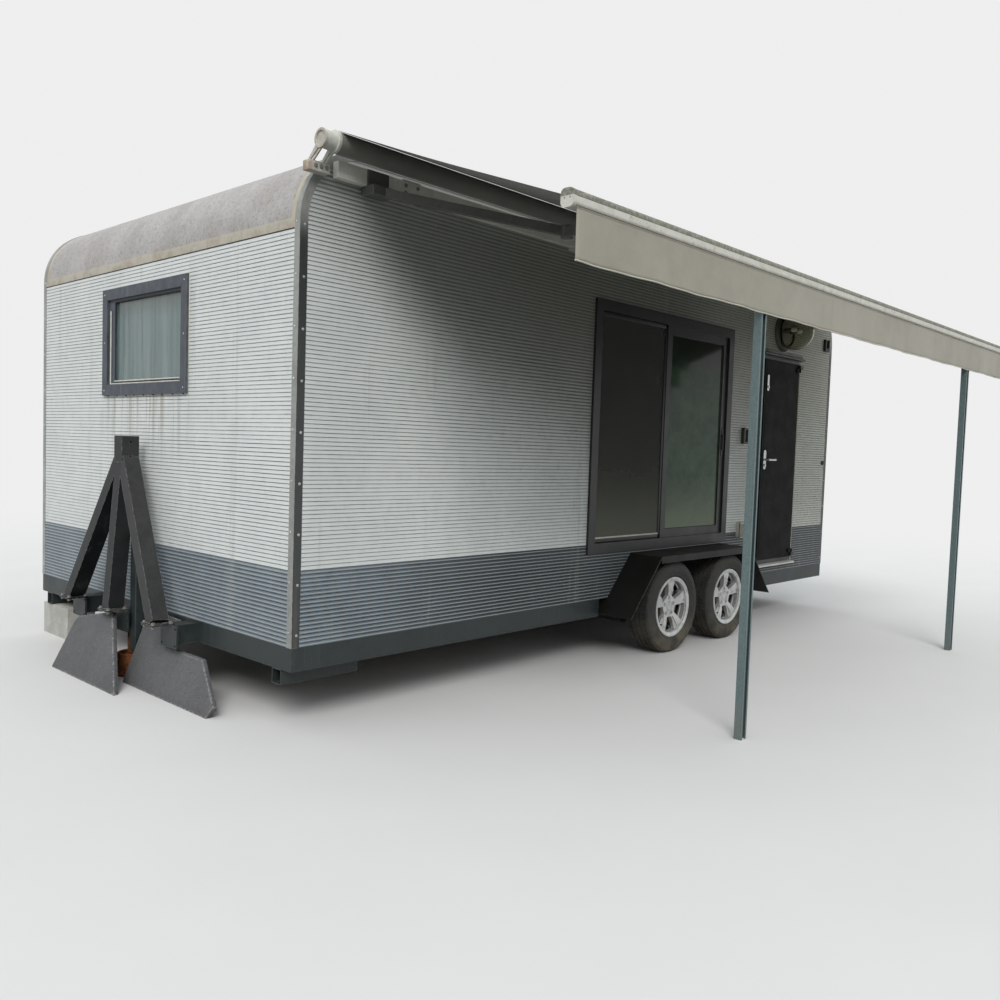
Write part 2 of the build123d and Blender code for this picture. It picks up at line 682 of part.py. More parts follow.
# Small fittings: control box, socket outlet with its lid up, cable cap and the hook under the awning's end
with BuildPart() as fittings:
    for box in (CONTROL_BOX, OUTLET_BOX):
        behind, height, width, tall, proud = box
        inner_width, inner_tall = width - 2 * FITTING_RIM, tall - 2 * FITTING_RIM
        with BuildSketch(side_plane(out(HALF + proud))):
            with Locations((back(behind), up(height))):
                RectangleRounded(width, tall, FITTING_ROUND)
                if box == CONTROL_BOX:
                    Rectangle(inner_width, inner_tall, mode=Mode.SUBTRACT)
                else:
                    with GridLocations(0, OUTLET_SPACING, 1, 2):
                        Circle(OUTLET_RADIUS, mode=Mode.SUBTRACT)
        extrude(amount=proud)
        with BuildSketch(side_plane(out(HALF + proud - FITTING_RECESS))):
            with Locations((back(behind), up(height))):
                Rectangle(inner_width + FITTING_RIM, inner_tall + FITTING_RIM)
        extrude(amount=proud - FITTING_RECESS)
    behind, height, width, tall, proud = OUTLET_BOX
    hinge_side = back(behind - width / 2)
    block((hinge_side, hinge_side - FITTING_ROUND), (out(HALF + proud - 1), out(HALF + proud + OUTLET_LID)),
          (up(height - tall / 2 + FITTING_ROUND), up(height + tall / 2 - FITTING_ROUND)))
    behind, height, radius, proud = CABLE_CAP
    rod((back(behind), out(HALF), up(height)), (back(behind), out(HALF + proud), up(height)), radius)
    behind, height, width, tall, proud = TOP_HOOK
    with BuildSketch(side_plane(out(HALF + proud))):
        with Locations((back(behind), up(height))):
            Rectangle(width, tall)
            Circle(width / 2 - HOOK_BAR, mode=Mode.SUBTRACT)
            with Locations((0, tall / 2)):
                Rectangle(width - 2 * HOOK_BAR, tall, mode=Mode.SUBTRACT)
    extrude(amount=proud)
save(fittings.part, "wall_fittings")

# Axles: a torsion tube in saddles under the main beams, trailing arms, spindles and brake backing plates
wheel_mid = HALF + WHEEL_PROUD - TYRE_WIDTH / 2
hub_face = RIM_WIDTH / 2 - HUB_FACE_DISH
disc_back = hub_face - DISC_SHEET
drum_in = disc_back - DRUM_DEPTH
arm_in = fender_in + ARM_INSET
tube_z = HUB_Z - ARM_RISE
half_tube = TORSION_TUBE / 2
# Name and distance behind the front wall
AXLES = (("front", AXLE_MID_BACK - AXLE_SPACING / 2), ("rear", AXLE_MID_BACK + AXLE_SPACING / 2))
for name, distance in AXLES:
    tube_end = Vector(back(distance) + ARM_LENGTH, tube_z)
    hub_end = Vector(back(distance), HUB_Z)
    along = (hub_end - tube_end).normalized()
    square = Vector(-along.Y, along.X)
    with BuildPart() as axle:
        block((tube_end.X - half_tube, tube_end.X + half_tube), (out(-arm_in), out(arm_in)),
              (tube_z - half_tube, tube_z + half_tube))
        for side in (1, -1):
            beam = out(side * MAIN_BEAM_OUT)
            saddle_y = (beam - RAIL_FLANGE / 2, beam + RAIL_FLANGE / 2)
            reach = half_tube + SADDLE_SHEET
            block((tube_end.X - reach, tube_end.X + reach), saddle_y, (tube_z - half_tube, rail_z[0]))
            foot = (tube_end.X - reach - SADDLE_FOOT, tube_end.X + reach + SADDLE_FOOT)
            block(foot, saddle_y, (rail_z[0] - SADDLE_SHEET, rail_z[0]))
            arm_face = max(out(side * arm_in), out(side * (arm_in + ARM_SHEET)))
            with BuildSketch(side_plane(arm_face)):
                with Locations(tube_end):
                    Circle(ARM_EYE)
                with Locations(hub_end):
                    Circle(ARM_END)
                with BuildLine():
                    Polyline(tube_end + square * ARM_EYE, hub_end + square * ARM_END, hub_end - square * ARM_END,
                             tube_end - square * ARM_EYE, close=True)
                make_face()
            extrude(amount=ARM_SHEET)
            spindle = (arm_in, wheel_mid + disc_back - 2 * HUB_WALL, SPINDLE_RADIUS)
            plate_end = wheel_mid + drum_in - DRUM_GAP
            backplate = (plate_end - BACKPLATE_SHEET, plate_end, BACKPLATE_RADIUS)
            for inner, outer, radius in (spindle, backplate):
                rod((hub_end.X, out(side * inner), hub_end.Y), (hub_end.X, out(side * outer), hub_end.Y), radius)
    save(axle.part, f"axle_{name}")

# One wheel, standing at the origin with its outer face towards +Y; sections read axial place and radius
spin = Axis((0, 0, 0), (0, 1, 0))
wheel_section = Plane(origin=(0, 0, 0), x_dir=(0, 1, 0), z_dir=(1, 0, 0))
wheel_face = Plane(origin=(0, 0, 0), x_dir=(1, 0, 0), z_dir=(0, 1, 0))

# Hollow tyre: half of its section from the tread's middle to the bead and back, mirrored
half_tyre = TYRE_WIDTH / 2
seat = RIM_WIDTH / 2 - 1
bead = (BEAD_RADIUS + 1, RIM_RADIUS + 2)
bulge = (TYRE_RADIUS + RIM_RADIUS) / 2
tread_edge = half_tyre - TYRE_SHOULDER
crown = TYRE_RADIUS - TYRE_CROWN
shoulder = (tread_edge + SHOULDER_WIDTH, TYRE_RADIUS - SHOULDER_DROP)
with BuildPart() as tyre_shape:
    with BuildSketch(wheel_section):
        with BuildLine():
            Line((0, TYRE_RADIUS), (tread_edge, TYRE_RADIUS))
            ThreePointArc((tread_edge, TYRE_RADIUS),
                          (tread_edge + SHOULDER_CROWN[0], TYRE_RADIUS - SHOULDER_CROWN[1]), shoulder)
            ThreePointArc(shoulder, (half_tyre, bulge), (seat, bead[1]))
            Polyline((seat, bead[1]), (seat, bead[0]), (seat - TYRE_BEAD, bead[0]), (seat - TYRE_BEAD, bead[1]))
            ThreePointArc((seat - TYRE_BEAD, bead[1]), (half_tyre - TYRE_WALL, bulge),
                          (tread_edge - TYRE_WALL, crown))
            Line((tread_edge - TYRE_WALL, crown), (0, crown))
            mirror(about=Plane.YZ)
        make_face()
    revolve(axis=spin)

lip = RIM_WIDTH / 2
barrel_top = BEAD_RADIUS - RIM_SHEET
spoke_root = BOLT_CIRCLE_RADIUS + BOLT_POCKET_RADIUS + POCKET_MARGIN
spoke_tip = barrel_top - 10
with BuildSketch() as window:
    with BuildLine():
        inner = Vector(spoke_root, SPOKE_ROOT_WIDTH / 2).rotate(Axis.Z, -180 / SPOKES)
        outer = Vector(spoke_tip, SPOKE_TIP_WIDTH / 2).rotate(Axis.Z, -180 / SPOKES)
        Polyline((outer.X, -outer.Y), (inner.X, -inner.Y), (inner.X, inner.Y), (outer.X, outer.Y))
        ThreePointArc((outer.X, outer.Y), (outer.length, 0), (outer.X, -outer.Y))
    make_face()
    fillet(window.vertices(), WINDOW_FILLET)
with BuildSketch() as facet:
    with BuildLine():
        Polyline((spoke_root + 6, -SPOKE_ROOT_WIDTH / 2), (spoke_root + 6, -SPOKE_ROOT_WIDTH / 6),
                 (spoke_tip, -SPOKE_TIP_WIDTH / 8), (spoke_tip + 6, -SPOKE_TIP_WIDTH / 2 - 4), close=True)
    make_face()


def dished_disc(lowered):
    """Wheel disc turned from the hub to the barrel, its outer face lowered by this much."""
    with BuildSketch(wheel_section) as profile:
        with BuildLine() as outline:
            Polyline((disc_back, 0), (hub_face - lowered, 0), (hub_face - lowered, spoke_root))
            ThreePointArc((hub_face - lowered, spoke_root), (lip - 11 - lowered, (spoke_root + spoke_tip) / 2),
                          (lip - 7 - lowered, spoke_tip))
            Polyline((lip - 7 - lowered, spoke_tip), (lip - 7 - lowered, barrel_top + 2),
                     (disc_back + 12, barrel_top + 2), (disc_back, spoke_root), (disc_back, 0))
        make_face(outline.edges())
    revolve(profile.sketch, axis=spin)


with BuildPart() as full_disc:
    dished_disc(0)
with BuildPart() as low_disc:
    dished_disc(SPOKE_STEP)
with BuildPart() as facets:
    with BuildSketch(wheel_face):
        with PolarLocations(0, SPOKES, start_angle=SPOKE_UP):
            add(facet.sketch)
    extrude(amount=RIM_WIDTH, both=True)
    add(low_disc.part, mode=Mode.INTERSECT)
with BuildPart() as facet_space:
    with BuildSketch(wheel_face):
        with PolarLocations(0, SPOKES, start_angle=SPOKE_UP):
            add(facet.sketch)
    extrude(amount=RIM_WIDTH, both=True)

seat_in, well_in = (distance - lip for distance in WELL_FROM_INNER_LIP)
seat_out, well_out = (lip - distance for distance in WELL_FROM_OUTER_LIP)
flange = lip + RIM_FLANGE
slant = RIM_SHEET / 2
with BuildPart() as rim_shape:
    add(full_disc.part)
    add(facet_space.part, mode=Mode.SUBTRACT)
    add(facets.part)
    with BuildSketch(wheel_section):
        with BuildLine():
            Polyline((-flange, RIM_RADIUS), (-lip, RIM_RADIUS), (-lip, BEAD_RADIUS), (seat_in, BEAD_RADIUS - 1),
                     (well_in, WELL_RADIUS), (well_out, WELL_RADIUS), (seat_out, BEAD_RADIUS - 1),
                     (lip, BEAD_RADIUS), (lip, RIM_RADIUS), (flange, RIM_RADIUS),
                     (flange, RIM_RADIUS - RIM_SHEET), (lip + slant, barrel_top), (seat_out + slant, barrel_top),
                     (well_out + slant, WELL_RADIUS - RIM_SHEET), (well_in - slant, WELL_RADIUS - RIM_SHEET),
                     (seat_in - slant, barrel_top), (-lip - slant, barrel_top),
                     (-flange, RIM_RADIUS - RIM_SHEET), close=True)
        make_face()
    revolve(axis=spin)
    with BuildSketch(wheel_face):
        with PolarLocations(0, SPOKES, start_angle=SPOKE_UP + 180 / SPOKES):
            add(window.sketch)
    extrude(amount=flange, mode=Mode.SUBTRACT)
    with BuildSketch(wheel_face.offset(hub_face - BOLT_POCKET_DEPTH)):
        with PolarLocations(BOLT_CIRCLE_RADIUS, SPOKES, start_angle=SPOKE_UP):
            Circle(BOLT_POCKET_RADIUS)
        Circle(CAP_RADIUS + CAP_GROOVE)
        Circle(CAP_RADIUS, mode=Mode.SUBTRACT)
    extrude(amount=BOLT_POCKET_DEPTH + SPOKE_STEP, mode=Mode.SUBTRACT)

with BuildPart() as hub_shape:
    bore = SPINDLE_RADIUS + BEARING_GAP
    with BuildSketch(wheel_section):
        with BuildLine():
            Polyline((disc_back, 0), (disc_back, DRUM_RADIUS), (drum_in, DRUM_RADIUS),
                     (drum_in, DRUM_RADIUS - HUB_WALL), (disc_back - HUB_WALL, DRUM_RADIUS - HUB_WALL),
                     (disc_back - HUB_WALL, HUB_RADIUS),
                     (drum_in, HUB_RADIUS), (drum_in, bore), (disc_back - HUB_WALL, bore),
                     (disc_back - HUB_WALL, 0), close=True)
        make_face()
    revolve(axis=spin)

# Side name and the turn that points the wheel's outer face away from the body
for side_name, side, turn in (("left", 1, 0), ("right", -1, 180)):
    for axle_name, distance in AXLES:
        place = Location((back(distance), out(side * wheel_mid), HUB_Z), (0, 0, turn))
        for piece, shape in (("tyre", tyre_shape), ("rim", rim_shape), ("hub", hub_shape)):
            with BuildPart() as placed:
                with Locations(place):
                    add(shape.part)
            save(placed.part, f"{piece}_{axle_name}_{side_name}")

# Awning: end housings on base plates, hangers, roller, back bar, folding arms, cloth, lead rail and posts
awning_rear = BODY_LENGTH + TRIM_SHEET
rail_span = (LEAD_RAIL_BACK + END_CAP, LEAD_RAIL_BACK + LEAD_RAIL_LENGTH - END_CAP)
rail_y = (out(rail_out - LEAD_RAIL_DEPTH), out(rail_out))
rail_z_top = up(LEAD_RAIL_TOP)
rail_z_base = rail_z_top - LEAD_RAIL_HEIGHT
wall_face = HALF + TRIM_SHEET
roller = (out(HALF + ROLLER_PROUD), ROOF_Z - ROLLER_BELOW_ROOF)
bar_y = (out(wall_face + BAR_STANDOFF), out(wall_face + BAR_STANDOFF + BACK_BAR_DEPTH))
bar_z = (ROOF_Z - BACK_BAR_BELOW_ROOF, ROOF_Z - BACK_BAR_BELOW_ROOF + BACK_BAR_HEIGHT)
plate_front = AWNING_FRONT - BASE_PLATE_OVERHANG
bar_span = (plate_front + BASE_PLATE_LENGTH + GAP, awning_rear - BASE_PLATE_LENGTH - GAP)
# End of the awning, direction inwards and the outer end of its base plate
AWNING_ENDS = ((AWNING_FRONT, 1, plate_front), (awning_rear, -1, awning_rear))
with BuildPart() as brackets:
    for end, inward, plate_end in AWNING_ENDS:
        housing = (back(end), back(end + inward * HOUSING_LENGTH))
        plate = (back(plate_end), back(plate_end + inward * BASE_PLATE_LENGTH))
        block(plate, (out(wall_face), out(wall_face + BRACKET_SHEET)), (bar_z[0], bar_z[0] + BASE_PLATE_HEIGHT))
        block(plate, (out(wall_face), roller[0] - HOUSING_RADIUS / 2), (bar_z[0], bar_z[0] + BRACKET_SHEET))
        for strut in housing:
            x = (strut, strut + (BRACKET_SHEET if strut == min(housing) else -BRACKET_SHEET))
            with BuildSketch(end_plane(min(x))):
                with BuildLine():
                    Polyline((out(wall_face), bar_z[0]), (roller[0] - HOUSING_RADIUS / 2, bar_z[0]),
                             (roller[0] + HOUSING_RADIUS / 3, roller[1] - HOUSING_RADIUS / 2),
                             (roller[0] - HOUSING_RADIUS / 2, roller[1]), close=True)
                make_face()
            extrude(amount=BRACKET_SHEET)
        rod((housing[0], *roller), (housing[1], *roller), HOUSING_RADIUS)
    for middle in HANGERS_BACK:
        x = (back(middle - HANGER_WIDTH / 2), back(middle + HANGER_WIDTH / 2))
        block(x, (out(HALF), bar_y[0]), (bar_z[0] - HANGER_LAP, bar_z[1] + HANGER_LAP))
        for z in (bar_z[0] - BRACKET_SHEET, bar_z[1]):
            block(x, (bar_y[0], bar_y[1]), (z, z + BRACKET_SHEET))
save(brackets.part, "awning_brackets")

roller_span = (AWNING_FRONT + HOUSING_LENGTH, awning_rear - HOUSING_LENGTH)
with BuildPart() as roller_tube:
    rod((back(roller_span[0]), *roller), (back(roller_span[1]), *roller), ROLLER_RADIUS)
save(roller_tube.part, "awning_roller")

with BuildPart() as back_bar:
    block((back(bar_span[0]), back(bar_span[1])), bar_y, bar_z)
save(back_bar.part, "awning_back_bar")

rail_mid = (sum(rail_y) / 2, (rail_z_base + rail_z_top) / 2)
with BuildPart() as lead_rail:
    with BuildSketch(end_plane(back(rail_span[1]))):
        with Locations(rail_mid):
            RectangleRounded(LEAD_RAIL_DEPTH, LEAD_RAIL_HEIGHT, RAIL_ROUND)
    extrude(amount=rail_span[1] - rail_span[0])
    for end in (rail_span[0] - END_CAP, rail_span[1]):
        with BuildSketch(end_plane(back(end + END_CAP))):
            with Locations(rail_mid):
                RectangleRounded(LEAD_RAIL_DEPTH, LEAD_RAIL_HEIGHT + 2 * END_CAP_LIP, RAIL_ROUND + END_CAP_LIP)
        extrude(amount=END_CAP)
save(lead_rail.part, "awning_lead_rail")

cloth_span = (roller_span[0] + CLOTH_INSET, roller_span[1] - CLOTH_INSET)
cloth_mid = back(sum(cloth_span) / 2)
cloth_from = (roller[0] + ROLLER_RADIUS / 4, roller[1] + ROLLER_RADIUS + CLOTH_SLACK + CLOTH / 2)
cloth_to = (rail_y[0] - CLOTH_SLACK - 2, rail_z_top - RAIL_ROUND)
with BuildPart() as cloth:
    bar((cloth_mid, *cloth_from), (cloth_mid, *cloth_to), cloth_span[1] - cloth_span[0], CLOTH, (1, 0, 0))
save(cloth.part, "awning_cloth")

with BuildPart() as valance:
    block((back(cloth_span[0]), back(cloth_span[1])), (rail_y[1] - 2 * CLOTH, rail_y[1] - CLOTH),
          (rail_z_base - VALANCE_DROP, rail_z_base))
save(valance.part, "awning_valance")

arm_start = (bar_y[1] + ARM_BAR_DEPTH / 2 + GAP, bar_z[0] - ARM_BAR_HEIGHT / 2)
arm_end = (rail_y[0] - ARM_BAR_DEPTH, rail_z_base + ARM_BAR_HEIGHT / 2)
with BuildPart() as arms:
    for shoulder, turn in zip(ARM_SHOULDERS_BACK, (1, -1)):
        first = (back(shoulder), *arm_start)
        elbow = (back(shoulder + turn * ARM_ELBOW_SHIFT), (arm_start[0] + arm_end[0]) / 2,
                 (arm_start[1] + arm_end[1]) / 2)
        last = (back(shoulder + turn * ARM_BAR_HEIGHT), *arm_end)
        box_x = (first[0] - SHOULDER_LENGTH / 2, first[0] + SHOULDER_LENGTH / 2)
        block(box_x, (bar_y[0], first[1] + ARM_BAR_DEPTH), (first[2] - ARM_BAR_HEIGHT / 2, bar_z[0]))
        block(box_x, (bar_y[1], bar_y[1] + BRACKET_SHEET), bar_z)
        bar(first, elbow, ARM_BAR_HEIGHT, ARM_BAR_DEPTH, (0, 0, 1))
        bar(elbow, last, ARM_BAR_HEIGHT, ARM_BAR_DEPTH, (0, 0, 1))
        rod((elbow[0], elbow[1], elbow[2] - ELBOW_RADIUS), (elbow[0], elbow[1], elbow[2] + ELBOW_RADIUS),
            ELBOW_RADIUS)
        block((last[0] - ELBOW_RADIUS, last[0] + ELBOW_RADIUS), (last[1] - ARM_BAR_DEPTH / 2, rail_y[0]),
              (last[2] - ARM_BAR_HEIGHT / 2, last[2] + ARM_BAR_HEIGHT / 2))
save(arms.part, "awning_arms")

with BuildPart() as posts:
    for behind in POSTS_BACK:
        with BuildSketch(Plane.XY):
            with Locations((back(behind), rail_y[0] + POST_DEPTH / 2)):
                Rectangle(POST_WIDTH, POST_DEPTH)
                Rectangle(POST_WIDTH - 2 * POST_SHEET, POST_DEPTH - 2 * POST_SHEET, mode=Mode.SUBTRACT)
            with Locations((back(behind), rail_y[0] + POST_DEPTH)):
                Rectangle(POST_WIDTH - 2 * POST_LIP, 2 * POST_SHEET, mode=Mode.SUBTRACT)
        extrude(amount=rail_z_base)
save(posts.part, "awning_posts")

# Drawbar: a bolted A-frame that stands upright on the stubs, its head bored for a coupler
foot_x = back(-DRAWBAR_FRONT) - LEG_DEPTH / 2
head_x = foot_x - DRAWBAR_LEAN
foot_z = stub_top + FLANGE_SHEET
head_z = (up(DRAWBAR_HEIGHT) - HEAD_HEIGHT, up(DRAWBAR_HEIGHT))
with BuildPart() as drawbar:
    for side in (-1, 0, 1):
        foot = (foot_x, out(side * LEG_FOOT_OUT), foot_z)
        top = (head_x, out(side * LEG_HEAD_OUT), head_z[0] + LEG_WIDTH / 4)
        bar(foot, top, LEG_WIDTH, LEG_DEPTH, (0, 1, 0))
    split(bisect_by=Plane.XY.offset(foot_z), keep=Keep.TOP)
    for side in (-1, 0, 1):
        with BuildSketch(Plane.XY.offset(stub_top)):
            with Locations((foot_x, out(side * LEG_FOOT_OUT))):
                RectangleRounded(FLANGE, FLANGE, FLANGE_SHEET)
                with GridLocations(FLANGE_BOLTS, FLANGE_BOLTS, 2, 2):
                    Circle(BOLT_RADIUS, mode=Mode.SUBTRACT)
        extrude(amount=FLANGE_SHEET)
    with Locations((head_x, MID_Y, sum(head_z) / 2)):
        Box(HEAD_DEPTH, HEAD_WIDTH, HEAD_HEIGHT)
    for step in (-1, 1):
        z = sum(head_z) / 2 + step * COUPLER_BOLT_SPACING / 2
        rod((head_x, out(-HEAD_WIDTH), z), (head_x, out(HEAD_WIDTH), z), COUPLER_BOLT_RADIUS, Mode.SUBTRACT)
save(drawbar.part, "drawbar")

# Two skirt boards leaning at the front, as (sideways, up from the ground line) on each board's own plane
BELOW = -40
# Reach of the lower edge, reach at the board's top, corners
BOARDS = ((BOARD_REACH, 235, ((-532, BELOW), (332, BELOW), (30, 370), (-433, 292))),
          (190, 30, ((97, BELOW), (1075, BELOW), (670, 385), (367, 428), (108, 363))))
with BuildPart() as boards:
    for low_reach, high_reach, corners in BOARDS:
        tallest = max(height for sideways, height in corners)
        lean = Vector(high_reach - low_reach, 0, tallest)
        facing = Vector(0, 1, 0).cross(lean)
        with BuildSketch(Plane(origin=(back(-low_reach), MID_Y, 0), x_dir=(0, 1, 0), z_dir=facing)):
            with BuildLine():
                Polyline(*corners, close=True)
            make_face()
        extrude(amount=-BOARD_SHEET)
    split(bisect_by=Plane.XY, keep=Keep.TOP)
    half_slot = STUB_PLATE_WIDTH / 2 + BOARD_SLOT_GAP
    for middle in (0, MAIN_BEAM_OUT):
        slot_y = (out(middle - half_slot), out(middle + half_slot))
        block((back(0), back(-STUB_REACH - STUB_PLATE - GAP)), slot_y,
              (plate_z[0] - BOARD_SLOT_GAP, foot_z + FLANGE), mode=Mode.SUBTRACT)
    block((back(0), back(-STUB_REACH)), (out(0), out(STUB_WIDTH / 2 + POST_TUBE + BOARD_SLOT_GAP)),
          (JACK_POST_FOOT - BOARD_SLOT_GAP, foot_z + FLANGE), mode=Mode.SUBTRACT)
save(boards.part, "skirt_boards")

# Jack post beside the middle stub, the screw jack under it, and a stack of two blocks under the right socket
with BuildPart() as jack_post:
    with BuildSketch(Plane.XY.offset(JACK_POST_FOOT)):
        with Locations((back(-POST_TUBE), out(STUB_WIDTH / 2 + POST_TUBE / 2))):
            RectangleRounded(POST_TUBE, POST_TUBE, SOCKET_SHEET)
            Rectangle(POST_TUBE - 2 * SOCKET_SHEET, POST_TUBE - 2 * SOCKET_SHEET, mode=Mode.SUBTRACT)
    extrude(amount=JACK_POST_TOP - JACK_POST_FOOT)
save(jack_post.part, "jack_post")

# Radius and height of the jack's outline: an open ring base round the nut, the screw and the head
ring, screw, head = JACK_RING_RADIUS, JACK_SCREW_RADIUS, JACK_HEAD_RADIUS
nut_top = JACK_RING_HEIGHT - 6
JACK_PROFILE = ((0, 0), (ring, 0), (ring, 12), (ring - 8, 18), (ring - 8, JACK_RING_HEIGHT),
                (ring - 16, JACK_RING_HEIGHT + 4), (ring - 24, JACK_RING_HEIGHT), (ring - 24, 30), (head, 24),
                (head, nut_top - 12), (head - 10, nut_top), (screw, nut_top), (screw, rail_z[0] - 22),
                (head, rail_z[0] - 18), (head, rail_z[0]), (0, rail_z[0]))
jack_x = back(-STUB_REACH / 2)
with BuildPart() as jack:
    with BuildSketch(Plane(origin=(jack_x, MID_Y, 0), x_dir=(1, 0, 0), z_dir=(0, -1, 0))):
        with BuildLine():
            Polyline(*JACK_PROFILE, close=True)
        make_face()
    revolve(axis=Axis((jack_x, MID_Y, 0), (0, 0, 1)))
save(jack.part, "front_jack")

tier = (rail_z[0] - SOCKET_SIZE) / 2
for name, base in (("lower", 0), ("upper", tier)):
    with BuildPart() as blocks:
        block((back(BLOCKS_BACK - BLOCK_WIDTH / 2), back(BLOCKS_BACK + BLOCK_WIDTH / 2)),
              (out(BLOCK_INSET - HALF), out(BLOCK_INSET + BLOCK_LENGTH - HALF)), (base, base + tier))
        chamfer(blocks.edges().filter_by(Axis.Z), BLOCK_BEVEL)
    save(blocks.part, f"support_block_{name}")
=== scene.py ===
"""Looks of the travel caravan: siding, fasteners, tyres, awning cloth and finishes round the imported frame."""
from math import atan2, cos, pi, radians, sin, sqrt

import bmesh
import bpy
from mathutils import Matrix, Vector


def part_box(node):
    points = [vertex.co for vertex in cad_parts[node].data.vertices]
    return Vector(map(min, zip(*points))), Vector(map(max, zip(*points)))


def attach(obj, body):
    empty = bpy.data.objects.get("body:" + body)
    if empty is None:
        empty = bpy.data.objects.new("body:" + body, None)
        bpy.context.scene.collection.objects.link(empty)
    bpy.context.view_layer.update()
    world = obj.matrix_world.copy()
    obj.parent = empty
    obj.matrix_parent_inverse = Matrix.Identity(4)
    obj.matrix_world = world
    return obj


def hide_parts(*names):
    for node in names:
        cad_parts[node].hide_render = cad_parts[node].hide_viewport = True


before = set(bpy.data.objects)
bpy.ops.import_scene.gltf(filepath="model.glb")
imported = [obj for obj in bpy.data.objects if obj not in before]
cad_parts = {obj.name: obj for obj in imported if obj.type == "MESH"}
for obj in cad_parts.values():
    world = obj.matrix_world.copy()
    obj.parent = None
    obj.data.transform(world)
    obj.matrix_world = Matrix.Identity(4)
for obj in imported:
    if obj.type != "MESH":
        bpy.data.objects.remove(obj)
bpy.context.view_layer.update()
scene = bpy.context.scene

# Sizes that the frame's boxes don't give, in metres
TRIM_WIDTH = 0.042
FLASHING_DROP = 0.034
CURVE_RADIUS = 0.385
FRAME_FLANGE = 0.014
PATIO_BAR = 0.055
SASH_BAR = 0.062
SCREEN_BAR = 0.024
FENDER_SLOPE = 0.88
BAND_HEIGHT = 0.367
RIB_PITCH = 0.0204
RIB_DEPTH = 0.0022
SKIN_BACK = 0.0006
SKIN_MARGIN = 0.0015
LUG_CIRCLE = 0.05715
LUGS = 5
TREAD_DEPTH = 0.008
TREAD_PITCHES = 76
CLOTH_SAG = 0.004
CLOTH_THICKNESS = 0.0016
VALANCE_WAVE = 0.0055
CURTAIN_WIDTH = 0.36
CURTAIN_FOLDS = 11
CURTAIN_SWING = 0.02
HOUSING_LENGTH = 0.086
HANGERS = (0.62, 2.0, 3.6, 5.24)
HANGER_WIDTH = 0.12
HANGER_LAP = 0.014
DRAWBAR_FEET = (-0.535, 0.0, 0.535)
FOOT_FROM_HEAD = 0.064
BOARD_SHEET = 0.028
BOARD_REACH = 0.345
RAIL_HEIGHT = 0.115
LEAF_WIDTH = 0.622
BULB_SPACING = 0.104
SCREW_INSET = 0.024
CUT_REACH = 0.02
FLANGE_BOLT = 0.048
LEG_HALF_DEPTH = 0.047
LEG_HALF_WIDTH = 0.0385
LEG_LEAN = 0.55
WELD_STEP = 0.005
WELD_RADIUS = 0.0048
SUN_STRENGTH = 1.9
SUN_SPREAD = 28
FLOOR_REACH = 60.0

# Radius of a turned shape at its axis
POLE = 1e-7

# Camera of the photograph: place, heading, downward pitch and roll, focal length as a share of the width
CAMERA_PLACE = (5.20223, 4.45831, 1.37686)
CAMERA_HEADING = -2.3917618
CAMERA_PITCH = 0.0568125
CAMERA_ROLL = 0.0338463
CAMERA_FOCAL = 0.912735
SENSOR = 36
BACKDROP = (0.86, 0.86, 0.86, 1)

# Places that the frame gives
wall_low, wall_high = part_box("left_wall")
SIDING_BASE = wall_low.z
BAND_TOP = SIDING_BASE + round(BAND_HEIGHT / RIB_PITCH) * RIB_PITCH
LEFT_FACE, RIGHT_FACE = wall_high.y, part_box("right_wall")[0].y
FRONT_FACE, REAR_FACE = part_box("front_wall")[1].x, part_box("rear_wall")[0].x
FLASHING_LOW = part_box("front_wall")[1].z - FLASHING_DROP
patio_low, patio_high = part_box("patio_window_frame")
pane_low, pane_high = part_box("patio_glass")
port_low, port_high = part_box("front_window_frame")
frame_low, frame_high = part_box("door_frame")
bar_low, bar_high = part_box("drawbar")
stub_low, stub_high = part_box("drawbar_stubs")
DRAWBAR_MIDDLE = (bar_low.y + bar_high.y) / 2
FOOT_X, FOOT_TOP = bar_high.x - FOOT_FROM_HEAD, stub_high.z + 0.01


# Node helpers
class Value:
    """A node's output; each sum or comparison with it adds a Math node to its tree."""

    def __init__(self, socket):
        self.socket, self.tree = socket, socket.id_data

    def beside(self, name):
        """Another output of the same node."""
        return Value(self.socket.node.outputs[name])

    def __add__(self, other):
        return calc("ADD", self, other)

    def __sub__(self, other):
        return calc("SUBTRACT", self, other)

    def __rsub__(self, other):
        return calc("SUBTRACT", other, self)

    def __mul__(self, other):
        return calc("MULTIPLY", self, other)

    def __truediv__(self, other):
        return calc("DIVIDE", self, other)

    def __rtruediv__(self, other):
        return calc("DIVIDE", other, self)

    def __lt__(self, other):
        return calc("LESS_THAN", self, other)

    def __gt__(self, other):
        return calc("GREATER_THAN", self, other)


def add(tree, kind, inputs=None, out=0, **settings):
    """Add a node, set or link its inputs, given by name or number, and give one of its outputs."""
    node = tree.nodes.new(kind)
    for name, value in settings.items():
        setattr(node, name, value)
    for key, value in (inputs or {}).items():
        if isinstance(value, Value):
            tree.links.new(value.socket, node.inputs[key])
        else:
            node.inputs[key].default_value = value
    return Value(node.outputs[out])


def calc(operation, first, second=0.0, clamp=False):
    """One arithmetic step, kept from 0 to 1 where it is clamped."""
    tree = (first if isinstance(first, Value) else second).tree
    return add(tree, "ShaderNodeMath", {0: first, 1: second}, operation=operation, use_clamp=clamp)


def linear(colour):
    """Linear colour of an sRGB one given as three numbers from 0 to 255; anything else stays as it is."""
    if not isinstance(colour, tuple) or len(colour) != 3:
        return colour
    values = (c / 255 for c in colour)
    return (*(c / 12.92 if c <= 0.04045 else ((c + 0.055) / 1.055) ** 2.4 for c in values), 1.0)


